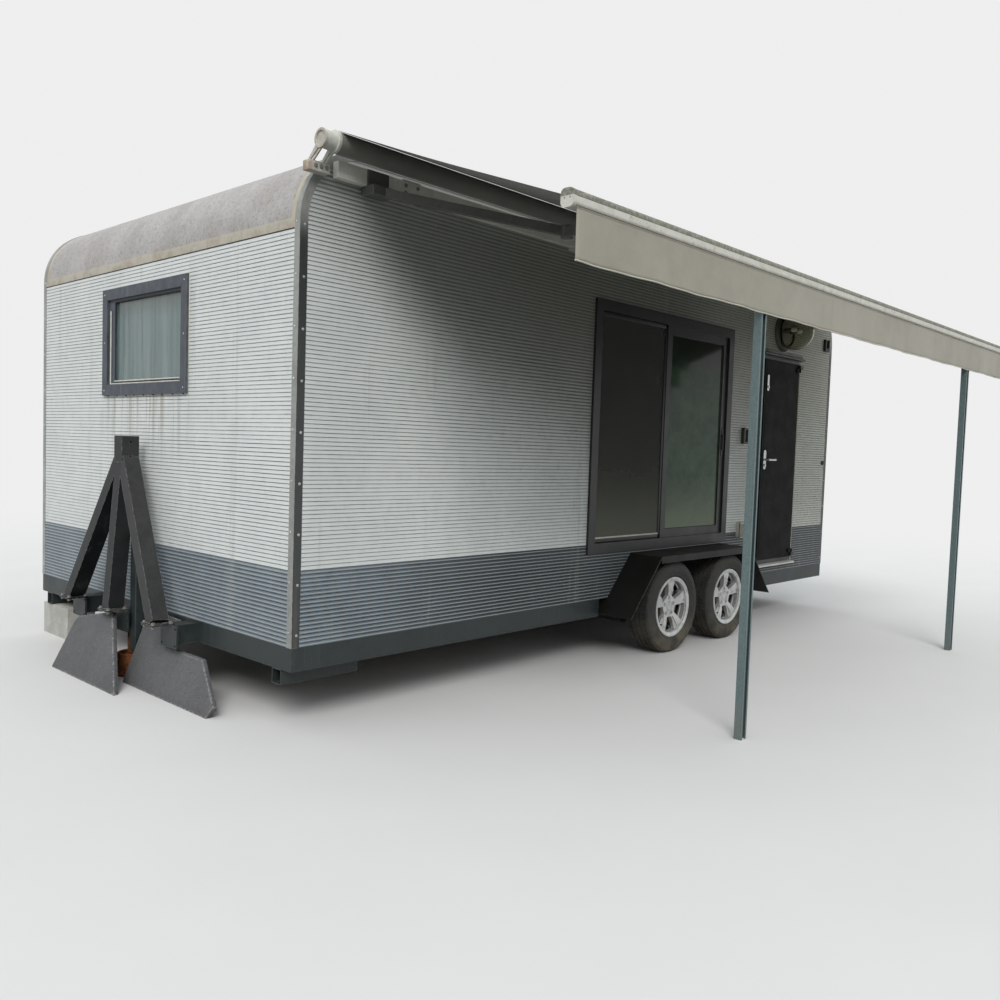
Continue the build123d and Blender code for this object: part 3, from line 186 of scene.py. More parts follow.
def spread(value, low, high, to_low=0.0, to_high=1.0):
    """Map a value from one range to another, with soft ends."""
    inputs = {"Value": value, "From Min": low, "From Max": high, "To Min": to_low, "To Max": to_high}
    return add(value.tree, "ShaderNodeMapRange", inputs, interpolation_type="SMOOTHSTEP")


def blend(share, first, second):
    """Mix of two colours."""
    inputs = {0: share, 6: linear(first), 7: linear(second)}
    return add(share.tree, "ShaderNodeMix", inputs, 2, data_type="RGBA")


def parts(vector):
    """The three coordinates of a vector."""
    node = add(vector.tree, "ShaderNodeSeparateXYZ", {0: vector}).socket.node
    return [Value(socket) for socket in node.outputs]


def joined(*axes):
    """Vector of up to three coordinates."""
    tree = next(axis.tree for axis in axes if isinstance(axis, Value))
    return add(tree, "ShaderNodeCombineXYZ", dict(enumerate(axes)))


def facing(tree):
    """The three coordinates of the surface's own direction."""
    return parts(add(tree, "ShaderNodeTexCoord", out="Normal"))


def stretched(vector, scales):
    """Vector scaled apart along its three axes."""
    return add(vector.tree, "ShaderNodeMapping", {"Vector": vector, "Scale": scales})


def noise(vector, scale, detail=3.0, roughness=0.55):
    """Soft noise about 0.5."""
    inputs = {"Vector": vector, "Scale": scale, "Detail": detail, "Roughness": roughness}
    return add(vector.tree, "ShaderNodeTexNoise", inputs, "Fac")


def cells(vector, scale, out="Distance", **settings):
    """Pattern of cells, as distance from their middles or as a colour for each."""
    return add(vector.tree, "ShaderNodeTexVoronoi", {"Vector": vector, "Scale": scale}, out, **settings)


def waves(vector, axis, **inputs):
    """Even waves along an axis."""
    return add(vector.tree, "ShaderNodeTexWave", {"Vector": vector, **inputs}, "Fac", bands_direction=axis)


def new_group(name, kind, inputs, output):
    """New node group; inputs are (name, socket, first value), the output (name, socket). Gives the inputs."""
    tree = bpy.data.node_groups.new(name, kind)
    for label, sort, *value in inputs:
        socket = tree.interface.new_socket(label, in_out="INPUT", socket_type="NodeSocket" + sort)
        if value:
            socket.default_value = value[0]
    tree.interface.new_socket(output[0], in_out="OUTPUT", socket_type="NodeSocket" + output[1])
    return [Value(socket) for socket in tree.nodes.new("NodeGroupInput").outputs[:-1]]


def effect(name, output, **numbers):
    """New shader group that reads a vector and numbers, whose names have underscores for spaces."""
    inputs = [(key.replace("_", " "), "Float", value) for key, value in numbers.items()]
    return new_group(name, "ShaderNodeTree", [("Vector", "Vector"), *inputs], (output, "Float"))


def give_out(value):
    """Join a value to its group's output and give the group."""
    value.tree.links.new(value.socket, value.tree.nodes.new("NodeGroupOutput").inputs[0])
    return value.tree


def use(shared, vector, **numbers):
    """Place a shared group on a vector."""
    inputs = {key.replace("_", " "): value for key, value in numbers.items()}
    return add(vector.tree, "ShaderNodeGroup", {"Vector": vector, **inputs}, node_tree=shared)


# Effects that several finishes share
def make_mottle():
    """Large soft blotches with finer ones inside them."""
    vector, scale = effect("mottle", "Mask", Scale=6.0)
    coarse, fine = noise(vector, scale, 4.0, 0.6), noise(vector, scale * 7.3, 2.0)
    return give_out(spread(coarse * 0.7 + fine * 0.3, 0.36, 0.64))


def make_streaks():
    """Thin runs of dirt that fall down a face."""
    vector, fineness = effect("rain streaks", "Mask", Fineness=14.0)
    thin = spread(noise(stretched(vector, (1.0, 1.0, 0.035)), fineness, 4.0, 0.7), 0.52, 0.72)
    return give_out(thin * spread(noise(vector, 1.3, 2.0), 0.38, 0.62))


def make_edges():
    """Where paint wears off: outer edges, broken up by grain."""
    vector, width, grain = effect("worn edges", "Mask", Width=0.004, Grain=60.0)
    tree = vector.tree
    rounded = add(tree, "ShaderNodeBevel", {"Radius": width}, samples=4)
    flat = add(tree, "ShaderNodeNewGeometry", out="Normal")
    along = add(tree, "ShaderNodeVectorMath", {0: rounded, 1: flat}, "Value", operation="DOT_PRODUCT")
    broken = spread(noise(vector, grain, 4.0, 0.65), 0.4, 0.62)
    return give_out(calc("MULTIPLY", spread(along, 0.985, 0.86), broken, clamp=True))


def make_dust():
    """Dust that settles on upward faces and splashes up from the ground."""
    vector, splash, upward = effect("dust", "Mask", Splash_height=0.5, Upward=0.6)
    broken = spread(noise(vector, 9.0, 5.0, 0.65), 0.34, 0.66)
    low = calc("MULTIPLY", spread(parts(vector)[2], splash, 0.0), broken, clamp=True)
    lying = spread(facing(vector.tree)[2], 0.35, 1.0) * upward * spread(noise(vector, 21.0, 4.0), 0.2, 0.6)
    return give_out(calc("MAXIMUM", low, lying))


def make_grain():
    """Height of a fine grain over a soft unevenness."""
    vector, fineness = effect("grain", "Height", Fineness=300.0)
    return give_out(noise(vector, fineness, 3.0) + noise(vector, fineness * 0.06, 2.0))


MOTTLE, STREAKS, EDGES, DUST, GRAIN = make_mottle(), make_streaks(), make_edges(), make_dust(), make_grain()


class Coat:
    """A material under way: surface coordinates, shader, and the colour, roughness and relief built so far."""

    def __init__(self, name, colour, rough, metal=0.0, **fixed):
        self.material = bpy.data.materials.new(name)
        self.material.use_nodes = True
        self.tree = self.material.node_tree
        self.shader = self.tree.nodes["Principled BSDF"]
        for key, value in {"Metallic": metal, **fixed}.items():
            self.shader.inputs[key.replace("_", " ")].default_value = value
        self.coords = add(self.tree, "ShaderNodeTexCoord", out="Object")
        self.axes = parts(self.coords)
        self.colour = add(self.tree, "ShaderNodeRGB")
        self.colour.socket.default_value = linear(colour)
        self.rough = add(self.tree, "ShaderNodeMath", {0: rough, 1: 0.0}, operation="ADD")
        self.normal = None

    def noise(self, scale, detail, roughness, low, high):
        """Patches where soft noise lies between two levels."""
        return spread(noise(self.coords, scale, detail, roughness), low, high)

    def over(self, mask, colour, rough=None, amount=1.0):
        """Lay a second colour over the first where the mask is."""
        share = calc("MULTIPLY", mask, amount, clamp=True)
        self.colour = blend(share, self.colour, colour)
        if rough is not None:
            self.rough = self.rough + share * (rough - self.rough)

    def mottle(self, colour, scale=6.0, rough=None, amount=1.0):
        self.over(use(MOTTLE, self.coords, Scale=scale), colour, rough, amount)

    def streaks(self, colour, fineness=14.0, rough=0.7, amount=0.6):
        self.over(use(STREAKS, self.coords, Fineness=fineness), colour, rough, amount)

    def worn(self, colour, width=0.004, grain=60.0, rough=0.4, amount=1.0):
        self.over(use(EDGES, self.coords, Width=width, Grain=grain), colour, rough, amount)

    def dust(self, splash, upward, amount, colour=(138, 128, 108)):
        self.over(use(DUST, self.coords, Splash_height=splash, Upward=upward), colour, 0.92, amount)

    def relief(self, height, depth, strength=1.0):
        """Lay a relief over any laid before."""
        inputs = {"Height": height, "Distance": depth, "Strength": strength}
        if self.normal:
            inputs["Normal"] = self.normal
        self.normal = add(self.tree, "ShaderNodeBump", inputs)

    def done(self):
        """Join colour, roughness and relief to the shader and give the material."""
        for name, value in (("Base Color", self.colour), ("Roughness", self.rough), ("Normal", self.normal)):
            self.tree.links.new(value.socket, self.shader.inputs[name])
        return self.material

    def grained(self, fineness=300.0, depth=0.0002, strength=0.4):
        """Lay a fine grain over it all and give the material."""
        self.relief(use(GRAIN, self.coords, Fineness=fineness), depth, strength)
        return self.done()


# Finishes of the caravan
def siding_finish(name, window=None):
    """White embossed siding over a blue-grey band, painted shadow lines, partly dirt, in its ribs and painted
    highlights along them; without `window` it also takes painted shade under the awning, and `window` gives a
    stained stretch.
    """
    coat = Coat(name, (216, 220, 219), 0.48, Coat_Weight=0.08)
    x, y, z = coat.axes
    coat.mottle((204, 209, 209), 2.2, 0.58, 0.8)
    if not window:
        # Painted olive shade under the awning, high on the wall and back from the front corner
        coat.over(spread(z, 1.2, 2.5) * spread(x, 2.4, 0.6), (128, 128, 104), None, 0.55)
        # Painted shadow of the awning: its lower edge falls away from the front corner
        coat.over(spread(z - x * 0.45, 0.9, 1.46) * spread(x, -1.2, -0.3), (58, 58, 36), None, 0.55)
        # Painted warm shade towards the rear of the wall
        coat.over(spread(x, -0.9, -2.2), (176, 176, 150), None, 0.5)
    below = z < BAND_TOP
    coat.over(below, blend(use(MOTTLE, coat.coords, Scale=5.0), (116, 128, 137), (102, 114, 123)), 0.55)
    if not window:
        # Painted shade on the band, darker back from the front corner
        coat.over(below * spread(x, 2.9, 1.2), (42, 50, 53), 0.6, 0.88)
    coat.streaks((158, 156, 144), 11.0, 0.7, 0.35)
    height = (z - SIDING_BASE) / RIB_PITCH
    row, rib = calc("FLOOR", height), calc("FRACT", height)
    # Each course has its own run of light and dark dashes
    along = x + y
    dashes = spread(noise(joined(along, row * 3.7), 13.0, 4.0, 0.75), 0.36, 0.64)
    # Painted shadow lines, partly dirt, in the groove under each course, darker still on the band
    groove = calc("MAXIMUM", spread(rib, 0.12, 0.03), spread(rib, 0.84, 0.93))
    drawn = groove * (dashes * 0.6 + 0.4)
    coat.over(drawn, (74, 78, 78), 0.85, 0.8)
    coat.over(drawn * below, (44, 50, 56), 0.85, 0.6)
    # Painted highlight along the face of each rib
    coat.over(spread(rib, 0.25, 0.4) * spread(rib, 0.62, 0.42), (238, 240, 238), 0.4, 0.35)
    if window:
        left, right, sill = window
        inside = spread(y, left - 0.05, left + 0.05) * spread(y, right + 0.05, right - 0.05)
        falling = spread(z, sill - 0.5, sill - 0.02) * (z < sill)
        thin = spread(noise(stretched(coat.coords, (1, 1, 0.03)), 17.0, 5.0, 0.7), 0.47, 0.63)
        coat.over(inside * falling * thin, (126, 112, 88), 0.8, 0.5)
    coat.dust(SIDING_BASE + 0.22, 0.25, 0.15, (120, 112, 96))
    # Embossed brick-like grain, short upright nicks along each course
    nicks = cells(joined(along * 34.0, height * 1.3), 1.0, feature="SMOOTH_F1")
    dulled = 0.06 if window else spread(x, 2.6, -1.5, 0.05, 0.3)
    coat.over(spread(nicks, 0.55, 0.8), (110, 112, 104), 0.7, dulled)
    coat.relief(nicks, 0.0008, 0.5)
    return coat.grained(260.0, 0.0003, 0.3)


def steel_finish(name, colour, second, wear, rough=0.42, scale=7.0, metal=0.0, gloss=0.5, edge=0.004,
                 wearing=0.6, runs=None, running=0.3, upward=0.5, dusting=0.5, fineness=320.0):
    """Painted steel with worn edges, blotches and dust."""
    coat = Coat(name, colour, rough, metal, Specular_IOR_Level=gloss)
    coat.mottle(second, scale, rough + 0.15, 0.8)
    coat.worn(wear, edge, 55.0, 0.5, wearing)
    coat.streaks(runs or second, 18.0, 0.75, running)
    coat.dust(0.0, upward, dusting)
    return coat.grained(fineness, 0.0003, 0.35)


def rusty_finish(name):
    """Bare iron with flaking orange and dark brown rust."""
    coat = Coat(name, (96, 58, 34), 0.85)
    coat.mottle((146, 86, 44), 14.0, 0.95)
    coat.over(coat.noise(46.0, 5.0, 0.7, 0.5, 0.66), (54, 38, 30), 0.8, 0.8)
    coat.worn((150, 128, 106), 0.003, 90.0, 0.5, 0.5)
    return coat.grained(140.0, 0.0012, 0.8)


def rubber_finish(name):
    """Tyre rubber gone grey, with dust in its grooves."""
    coat = Coat(name, (40, 41, 40), 0.72)
    coat.mottle((58, 58, 54), 9.0, 0.85)
    coat.dust(0.32, 0.3, 0.5, (128, 118, 98))
    coat.worn((82, 80, 72), 0.006, 30.0, 0.85, 0.6)
    return coat.grained(420.0, 0.0003, 0.5)


def alloy_finish(name):
    """Silver wheel paint with painted shade in the low places behind the spokes."""
    coat = Coat(name, (206, 208, 207), 0.3, 0.55)
    coat.mottle((176, 178, 176), 12.0, 0.42, 0.6)
    coat.over(coat.noise(24.0, 4.0, 0.7, 0.48, 0.7), (120, 112, 100), 0.7, 0.3)
    # Painted shade blackens the barrel behind the spokes
    y = coat.axes[1]
    left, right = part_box("rim_front_left")[1].y - y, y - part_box("rim_front_right")[0].y
    behind = spread(calc("MINIMUM", left, right), 0.05, 0.075)
    coat.over(behind * spread(calc("MAXIMUM", left, right), 0.0, 0.001), (34, 31, 28), 0.8, 0.9)
    coat.worn((214, 214, 210), 0.003, 40.0, 0.25, 0.7)
    return coat.grained(500.0, 0.0001, 0.3)


def roof_finish(name):
    """Pale weathered roof sheet with dots of lichen and brown runs near its lower edge."""
    coat = Coat(name, (178, 175, 174), 0.6, 0.1)
    z = coat.axes[2]
    coat.mottle((160, 156, 154), 4.0, 0.75, 0.8)
    coat.over(coat.noise(60.0, 5.0, 0.75, 0.5, 0.66), (116, 113, 110), 0.85, 0.6)
    coat.over(spread(z, FLASHING_LOW + 0.055, FLASHING_LOW + 0.045), (190, 184, 168), 0.6, 0.7)
    coat.streaks((148, 140, 122), 12.0, 0.85, 0.35)
    low = spread(z, FLASHING_LOW + 0.08, FLASHING_LOW)
    coat.over(low * coat.noise(11.0, 4.0, 0.7, 0.4, 0.62), (142, 124, 96), 0.85, 0.45)
    return coat.grained(180.0, 0.0008, 0.5)


def galvanised_finish(name):
    """Zinc with its spangle."""
    coat = Coat(name, (98, 115, 117), 0.42, 0.5)
    grey = add(coat.tree, "ShaderNodeSeparateColor", {0: cells(coat.coords, 130.0, "Color")})
    coat.over(grey, (124, 140, 142), 0.3, 0.45)
    coat.streaks((100, 108, 104), 22.0, 0.7, 0.5)
    coat.dust(0.3, 0.5, 0.3)
    return coat.grained(260.0, 0.0001, 0.25)


def concrete_finish(name):
    """Pale cast concrete with pores and chips."""
    coat = Coat(name, (192, 191, 186), 0.92)
    coat.mottle((170, 169, 162), 9.0)
    pores = cells(coat.coords, 160.0)
    coat.over(spread(pores, 0.22, 0.1), (110, 108, 102), 0.95, 0.7)
    coat.worn((198, 196, 190), 0.008, 40.0, 0.95, 0.6)
    coat.relief(spread(pores, 0.3, 0.1), 0.0015, 0.7)
    return coat.grained(120.0, 0.0015, 0.7)


def board_finish(name):
    """Rough grey rubber board with crumbled, whitish edges."""
    coat = Coat(name, (94, 95, 97), 0.9)
    coat.mottle((110, 111, 112), 3.0, 0.95, 0.7)
    crumbs = cells(coat.coords, 260.0)
    coat.over(spread(crumbs, 0.4, 0.62), (70, 70, 73), 0.95, 0.7)
    coat.over(coat.noise(130.0, 3.0, 0.55, 0.66, 0.72), (160, 160, 156), 0.95, 0.6)
    coat.worn((176, 175, 170), 0.018, 60.0, 0.95, 1.0)
    coat.relief(crumbs, 0.0015, 0.8)
    return coat.grained(150.0, 0.001, 0.6)


def cloth_finish(name, colour, second):
    """Woven awning canvas, its threads laid over the piece's own length and drop."""
    coat = Coat(name, colour, 0.85, Sheen_Weight=0.2)
    coat.mottle(second, 1.6, 0.92, 0.5)
    coat.streaks(second, 6.0, 0.95, 0.5)
    coat.relief(calc("MAXIMUM", *(waves(coat.coords, axis, Scale=320.0) for axis in "XY")), 0.0003, 0.35)
    return coat.grained(90.0, 0.0012, 0.4)


def reeded_glass(name):
    """Green-blue privacy glass with upright reeds; a dim room lies behind it."""
    coat = Coat(name, (82, 106, 106), 0.22, Coat_Weight=0.5, Coat_Roughness=0.04, Transmission_Weight=0.1)
    upright = stretched(coat.coords, (1.0, 1.0, 0.06))
    coat.over(spread(noise(upright, 9.0, 4.0, 0.6), 0.42, 0.62), (108, 132, 130), None, 0.75)
    coat.over(spread(noise(upright, 23.0, 2.0), 0.52, 0.66), (60, 80, 78), None, 0.6)
    coat.over(spread(coat.axes[2], port_high.z - 0.22, port_high.z - 0.08), (58, 68, 62), None, 0.7)
    coat.relief(waves(coat.coords, "Y", Scale=26.0, Distortion=0.6), 0.0012, 0.7)
    return coat.grained(70.0, 0.0006, 0.3)


def dark_glass(name):
    """Tinted panes over a dark room; the rear one gleams soft green, and both grow paler towards the sill in a
    painted reflection.
    """
    coat = Coat(name, (46, 50, 44), 0.08, Specular_IOR_Level=0.16)
    x, z = coat.axes[0], coat.axes[2]
    # Painted reflection, paler towards the sill on both panes and more so on the rear one
    low = spread(z, 1.25, 0.82)
    coat.over(low, (78, 80, 72), None, 0.6)
    middle = (patio_low.x + patio_high.x) / 2
    rear = spread(x, middle + 0.02, middle - 0.02)
    shapes = spread(noise(stretched(coat.coords, (1, 1, 1.4)), 3.0, 6.0, 0.7), 0.3, 0.72)
    coat.over(rear * spread(z, 2.2, 1.85), blend(shapes, (48, 74, 58), (82, 114, 86)), None, 0.9)
    coat.over(rear * low, (124, 134, 112), None, 0.75)
    coat.streaks((96, 100, 90), 20.0, 0.25, 0.2)
    coat.relief(noise(coat.coords, 2.2, 1.0), 0.002, 0.15)
    return coat.done()


def clear_bubble(name):
    """Clear plastic dome, a little smoky where it is seen edge on."""
    coat = Coat(name, (206, 206, 194), 0.03, Transmission_Weight=1.0, IOR=1.08)
    rim = add(coat.tree, "ShaderNodeLayerWeight", {"Blend": 0.25}, "Facing")
    coat.over(spread(rim, 0.4, 0.95), (112, 112, 98), None, 0.8)
    return coat.grained(60.0, 0.0002, 0.1)


def fitting_finish(name):
    """Pale outlet with dark sockets, brown control box, black hook and cable cap, told apart by place."""
    coat = Coat(name, (204, 204, 194), 0.5)
    coat.mottle((178, 177, 162), 20.0, 0.6, 0.7)
    x, y, z = coat.axes
    coat.over((y < LEFT_FACE + 0.036) * (y > LEFT_FACE + 0.028), (30, 30, 28), 0.7, 0.9)
    box = z > SIDING_BASE + 0.75
    coat.over(box, (92, 89, 78), 0.6)
    coat.over(box * (y < LEFT_FACE + 0.024), (48, 46, 40), 0.7, 0.9)
    coat.over(x < frame_low.x, (30, 31, 30), 0.6)
    coat.worn((150, 146, 132), 0.003, 60.0, 0.6, 0.4)
    return coat.grained(300.0, 0.0002, 0.3)


def trim_finish(name):
    """Dull aluminium, pale to the front and darker on the straight side flanges."""
    coat = Coat(name, (158, 160, 157), 0.42, 0.3)
    coat.mottle((136, 137, 134), 7.0, 0.55, 0.8)
    sideways = spread(calc("ABSOLUTE", facing(coat.tree)[1]), 0.6, 0.8)
    curve = wall_high.z - CURVE_RADIUS
    coat.over(sideways * spread(coat.axes[2], curve + 0.05, curve - 0.1), (46, 50, 52), 0.4, 0.9)
    coat.worn((206, 208, 206), 0.004, 55.0, 0.5, 0.6)
    coat.streaks((120, 116, 106), 18.0, 0.75, 0.4)
    return coat.grained(320.0, 0.0003, 0.35)


def screen_finish(name):
    """Fine insect screen, paler towards the sill where daylight falls on it."""
    coat = Coat(name, (54, 56, 51), 0.8, Alpha=0.8)
    coat.mottle((64, 66, 60), 3.0)
    coat.over(spread(coat.axes[2], 1.35, 0.8), (112, 114, 102), 0.85, 0.8)
    return coat.grained()


def drawbar_finish(name):
    """Near-black paint, greyed by weather on the outer leg, with bare edges."""
    coat = Coat(name, (14, 17, 19), 0.42, Specular_IOR_Level=0.3)
    coat.mottle((26, 30, 32), 7.0, 0.5, 0.8)
    outer = spread(coat.axes[1], DRAWBAR_MIDDLE + 0.02, DRAWBAR_MIDDLE + 0.06)
    coat.over(outer * (use(MOTTLE, coat.coords, Scale=10.0) * 0.4 + 0.6), (60, 60, 60), 0.6, 0.8)
    coat.streaks((92, 94, 94), 18.0, 0.75, 0.35)
    coat.worn((178, 178, 172), 0.005, 55.0, 0.5, 0.75)
    return coat.grained(320.0, 0.0003, 0.35)


def housing_finish(name):
    """Off-white awning castings whose ends past the corner have rusted orange."""
    coat = Coat(name, (196, 197, 190), 0.45)
    coat.mottle((168, 168, 158), 9.0, 0.6, 0.8)
    ends = spread(coat.axes[0], FRONT_FACE - 0.05, FRONT_FACE + 0.03)
    coat.over(ends * coat.noise(30.0, 5.0, 0.7, 0.36, 0.56), (150, 96, 54), 0.9, 0.9)
    coat.streaks((150, 132, 100), 18.0, 0.75, 0.5)
    coat.worn((126, 96, 66), 0.004, 55.0, 0.8, 0.5)
    return coat.grained(320.0, 0.0003, 0.35)


def rail_finish(name):
    """White lead rail, its upper strip gone grey and speckled."""
    coat = Coat(name, (208, 208, 200), 0.5)
    coat.mottle((188, 184, 172), 22.0, 0.6, 0.6)
    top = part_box("awning_lead_rail")[1].z
    speckled = blend(coat.noise(70.0, 4.0, 0.75, 0.36, 0.6), (142, 142, 130), (92, 94, 82))
    coat.over(spread(coat.axes[2], top - 0.03, top - 0.026), speckled, 0.75, 0.9)
    coat.over(coat.noise(34.0, 4.0, 0.7, 0.58, 0.7), (140, 130, 112), 0.75, 0.5)
    return coat.grained(260.0, 0.0004, 0.4)


SIDE_SIDING = siding_finish("side_siding")
FRONT_SIDING = siding_finish("front_siding", (port_low.y, port_high.y, port_low.z))
ROOF_SHEET = roof_finish("weathered_roof_sheet")
TRIM = trim_finish("dull_aluminium_trim")
CHASSIS = steel_finish("chassis_black", (34, 41, 41), (44, 52, 52), (104, 106, 102), runs=(70, 76, 78),
                       dusting=0.15, wearing=0.5)
FENDER = steel_finish("fender_satin_black", (16, 18, 17), (24, 26, 25), (104, 106, 100), edge=0.006,
                      wearing=0.5, upward=0.3, dusting=0.12, gloss=0.25)
FRAME_BLACK = steel_finish("black_window_frame", (32, 34, 34), (40, 43, 42), (80, 82, 80), 0.38, dusting=0.25)
PORT_FRAME = steel_finish("faded_window_frame", (58, 63, 72), (84, 90, 98), (120, 124, 128), 0.55, 16.0,
                          running=0.8, runs=(104, 110, 116))
DOOR_BLACK = steel_finish("door_matt_black", (12, 13, 12), (16, 17, 16), (44, 44, 42), 0.7, dusting=0.06,
                          gloss=0.2, fineness=500.0)
CHROME = steel_finish("worn_chrome", (196, 198, 198), (168, 170, 170), (220, 220, 220), 0.16, metal=0.95,
                      dusting=0.2, running=0.1)
SILL = steel_finish("threshold_aluminium", (212, 212, 206), (186, 186, 180), (232, 232, 228), 0.4, metal=0.3,
                    dusting=0.35)
LAMP_BODY = steel_finish("lamp_ring", (56, 57, 52), (70, 70, 64), (132, 132, 124), 0.5, upward=0.4)
LAMP_DARK = steel_finish("lamp_dish_dark", (96, 96, 82), (74, 75, 64), (120, 120, 104), 0.35, dusting=0.1)
LAMP_WHITE = steel_finish("lamp_bulb_white", (232, 232, 224), (220, 220, 210), (240, 240, 236), 0.2,
                          dusting=0.0, running=0.0)
DRUM = steel_finish("brake_drum_iron", (40, 36, 33), (62, 50, 42), (84, 72, 62), 0.75, 30.0, dusting=0.2)
DARK_PLASTIC = steel_finish("dark_fitting", (70, 68, 58), (88, 84, 70), (110, 106, 92), 0.5)
FITTINGS, AWNING_PAINT = fitting_finish("wall_fittings"), housing_finish("awning_casting_white")
RAIL_PAINT = rail_finish("lead_rail_white")
# The awning arms' dark grey is painted shade
ARM_GREY = steel_finish("awning_arm_grey", (84, 87, 84), (100, 102, 98), (156, 156, 150), 0.45, upward=0.4,
                        dusting=0.3)
# The back bar's near-white is partly painted light, paler than its paint to offset the shade under the canvas
BAR_GREY = steel_finish("back_bar_grey", (226, 226, 218), (206, 205, 196), (236, 236, 230), 0.4, upward=0.2,
                        dusting=0.1, running=0.4, runs=(176, 170, 154))
DRAWBAR_PAINT = drawbar_finish("drawbar_charcoal")
WORN_BOLT = steel_finish("worn_bolt", (150, 150, 144), (112, 106, 96), (190, 190, 184), 0.45, 60.0, 0.7)
ZINC_SCREW = steel_finish("zinc_screw", (188, 190, 188), (160, 160, 156), (214, 214, 210), 0.4, 80.0, 0.6)
SEALANT = steel_finish("old_sealant", (196, 192, 176), (166, 160, 140), (196, 192, 176), 0.7, 30.0, running=0.6,
                       runs=(120, 110, 88))
DARK_CAULK = steel_finish("dark_caulk", (58, 54, 48), (40, 38, 34), (70, 66, 60), 0.8, 40.0)
GASKET = steel_finish("gasket_rubber", (30, 31, 31), (42, 43, 42), (56, 56, 54), 0.6)
PALE_STRIP = steel_finish("pale_glazing_strip", (206, 208, 200), (176, 178, 168), (222, 222, 216), 0.45, 30.0)
LINING = steel_finish("cabin_lining", (186, 178, 160), (170, 160, 140), (196, 190, 172), 0.7, dusting=0.1)
FLOOR_BOARD = steel_finish("floor_board", (112, 92, 66), (92, 74, 52), (130, 110, 84), 0.75, 12.0, dusting=0.2)
SCREEN = screen_finish("insect_screen")
CURTAIN_CLOTH = cloth_finish("curtain_cloth", (96, 88, 76), (78, 72, 62))
# The canvas's dark grey is painted shade of its underside
CANVAS = cloth_finish("awning_canvas", (112, 113, 106), (92, 94, 88))
VALANCE_CLOTH = cloth_finish("valance_canvas", (159, 155, 142), (138, 135, 122))
HEM_CLOTH = cloth_finish("valance_hem", (196, 193, 180), (172, 168, 152))
RUST, RUBBER = rusty_finish("rusty_iron"), rubber_finish("tyre_rubber_grey")
ALLOY, ZINC = alloy_finish("alloy_silver"), galvanised_finish("galvanised_post")
CONCRETE, BOARD = concrete_finish("cast_concrete"), board_finish("crumbled_board")
PORT_GLASS, PATIO_GLASS = reeded_glass("reeded_glass"), dark_glass("tinted_glass")
BUBBLE = clear_bubble("smoky_bubble")

WHEELS = [f"{end}_{side}" for end in ("front", "rear") for side in ("left", "right")]
NODE_FINISHES = (
    (CHASSIS, "chassis_side_rails chassis_main_beams chassis_cross_members drawbar_stubs corner_leg_sockets"),
    (CHASSIS, "axle_front axle_rear jack_post"),
    (LINING, "left_wall right_wall front_wall rear_wall"),
    (FLOOR_BOARD, "floor_panel"),
    (ROOF_SHEET, "roof_front_curve roof_rear_curve roof_panel"),
    (TRIM, "edge_trims"),
    (FENDER, "fenders"),
    (PORT_FRAME, "front_window_frame"),
    (FRAME_BLACK, "patio_window_frame patio_sashes door_frame door_rain_cap"),
    (DOOR_BLACK, "door_leaf"),
    (CHROME, "door_handle"),
    (ARM_GREY, "awning_arms"),
    (BAR_GREY, "awning_back_bar"),
    (SILL, "door_sill"),
    (PORT_GLASS, "front_window_glass"),
    (PATIO_GLASS, "patio_glass"),
    (LAMP_BODY, "porch_lamp_base"),
    (FITTINGS, "wall_fittings"),
    (CANVAS, "awning_roller"),
    (RAIL_PAINT, "awning_lead_rail"),
    (ZINC, "awning_posts"),
    (DRAWBAR_PAINT, "drawbar"),
    (BOARD, "skirt_boards"),
    (RUST, "front_jack"),
    (CONCRETE, "support_block_lower support_block_upper"),
    (ALLOY, " ".join(f"rim_{wheel}" for wheel in WHEELS)),
    (DRUM, " ".join(f"hub_{wheel}" for wheel in WHEELS)),
    (RUBBER, " ".join(f"tyre_{wheel}" for wheel in WHEELS)),
)
for finish, names in NODE_FINISHES:
    for name in names.split():
        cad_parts[name].data.materials.clear()
        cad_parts[name].data.materials.append(finish)


# Mesh helpers
def piece(name, mesh, finish=None, body="caravan"):
    """Link a finished mesh in place and let it ride on a body."""
    obj = bpy.data.objects.new(name, mesh)
    mesh.name = name
    scene.collection.objects.link(obj)
    if finish:
        mesh.materials.clear()
        mesh.materials.append(finish)
    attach(obj, body)
    return obj


def smooth(obj, angle=35):
    """Shade smooth up to an edge angle."""
    obj.data.shade_smooth()
    obj.data.set_sharp_from_angle(angle=radians(angle))
    return obj


def mesh_from(bm):
    """Mesh of a bmesh, its faces turned outwards."""
    bmesh.ops.recalc_face_normals(bm, faces=bm.faces)
    mesh = bpy.data.meshes.new("shape")
    bm.to_mesh(mesh)
    bm.free()
    return mesh


def put_box(bm, low, high, bevel=0.0):
    """Box between two corners with its edges eased."""
    low, high = Vector(low), Vector(high)
    made = bmesh.ops.create_cube(bm, size=1.0)["verts"]
    bmesh.ops.scale(bm, vec=high - low, verts=made)
    bmesh.ops.translate(bm, vec=(low + high) / 2, verts=made)
    if bevel:
        edges = list({edge for vert in made for edge in vert.link_edges})
        bmesh.ops.bevel(bm, geom=edges, offset=bevel, segments=2, affect="EDGES", profile=0.6)


def put_prism(bm, outline, low, high, place):
    """Closed prism of a flat outline between two depths; `place` turns (u, v, depth) into a point."""
    rings = [[bm.verts.new(place(u, v, depth)) for u, v in outline] for depth in (low, high)]
    bm.faces.new(rings[0][::-1])
    bm.faces.new(rings[1])
    for number in range(len(outline)):
        after = (number + 1) % len(outline)
        bm.faces.new((rings[0][number], rings[0][after], rings[1][after], rings[1][number]))


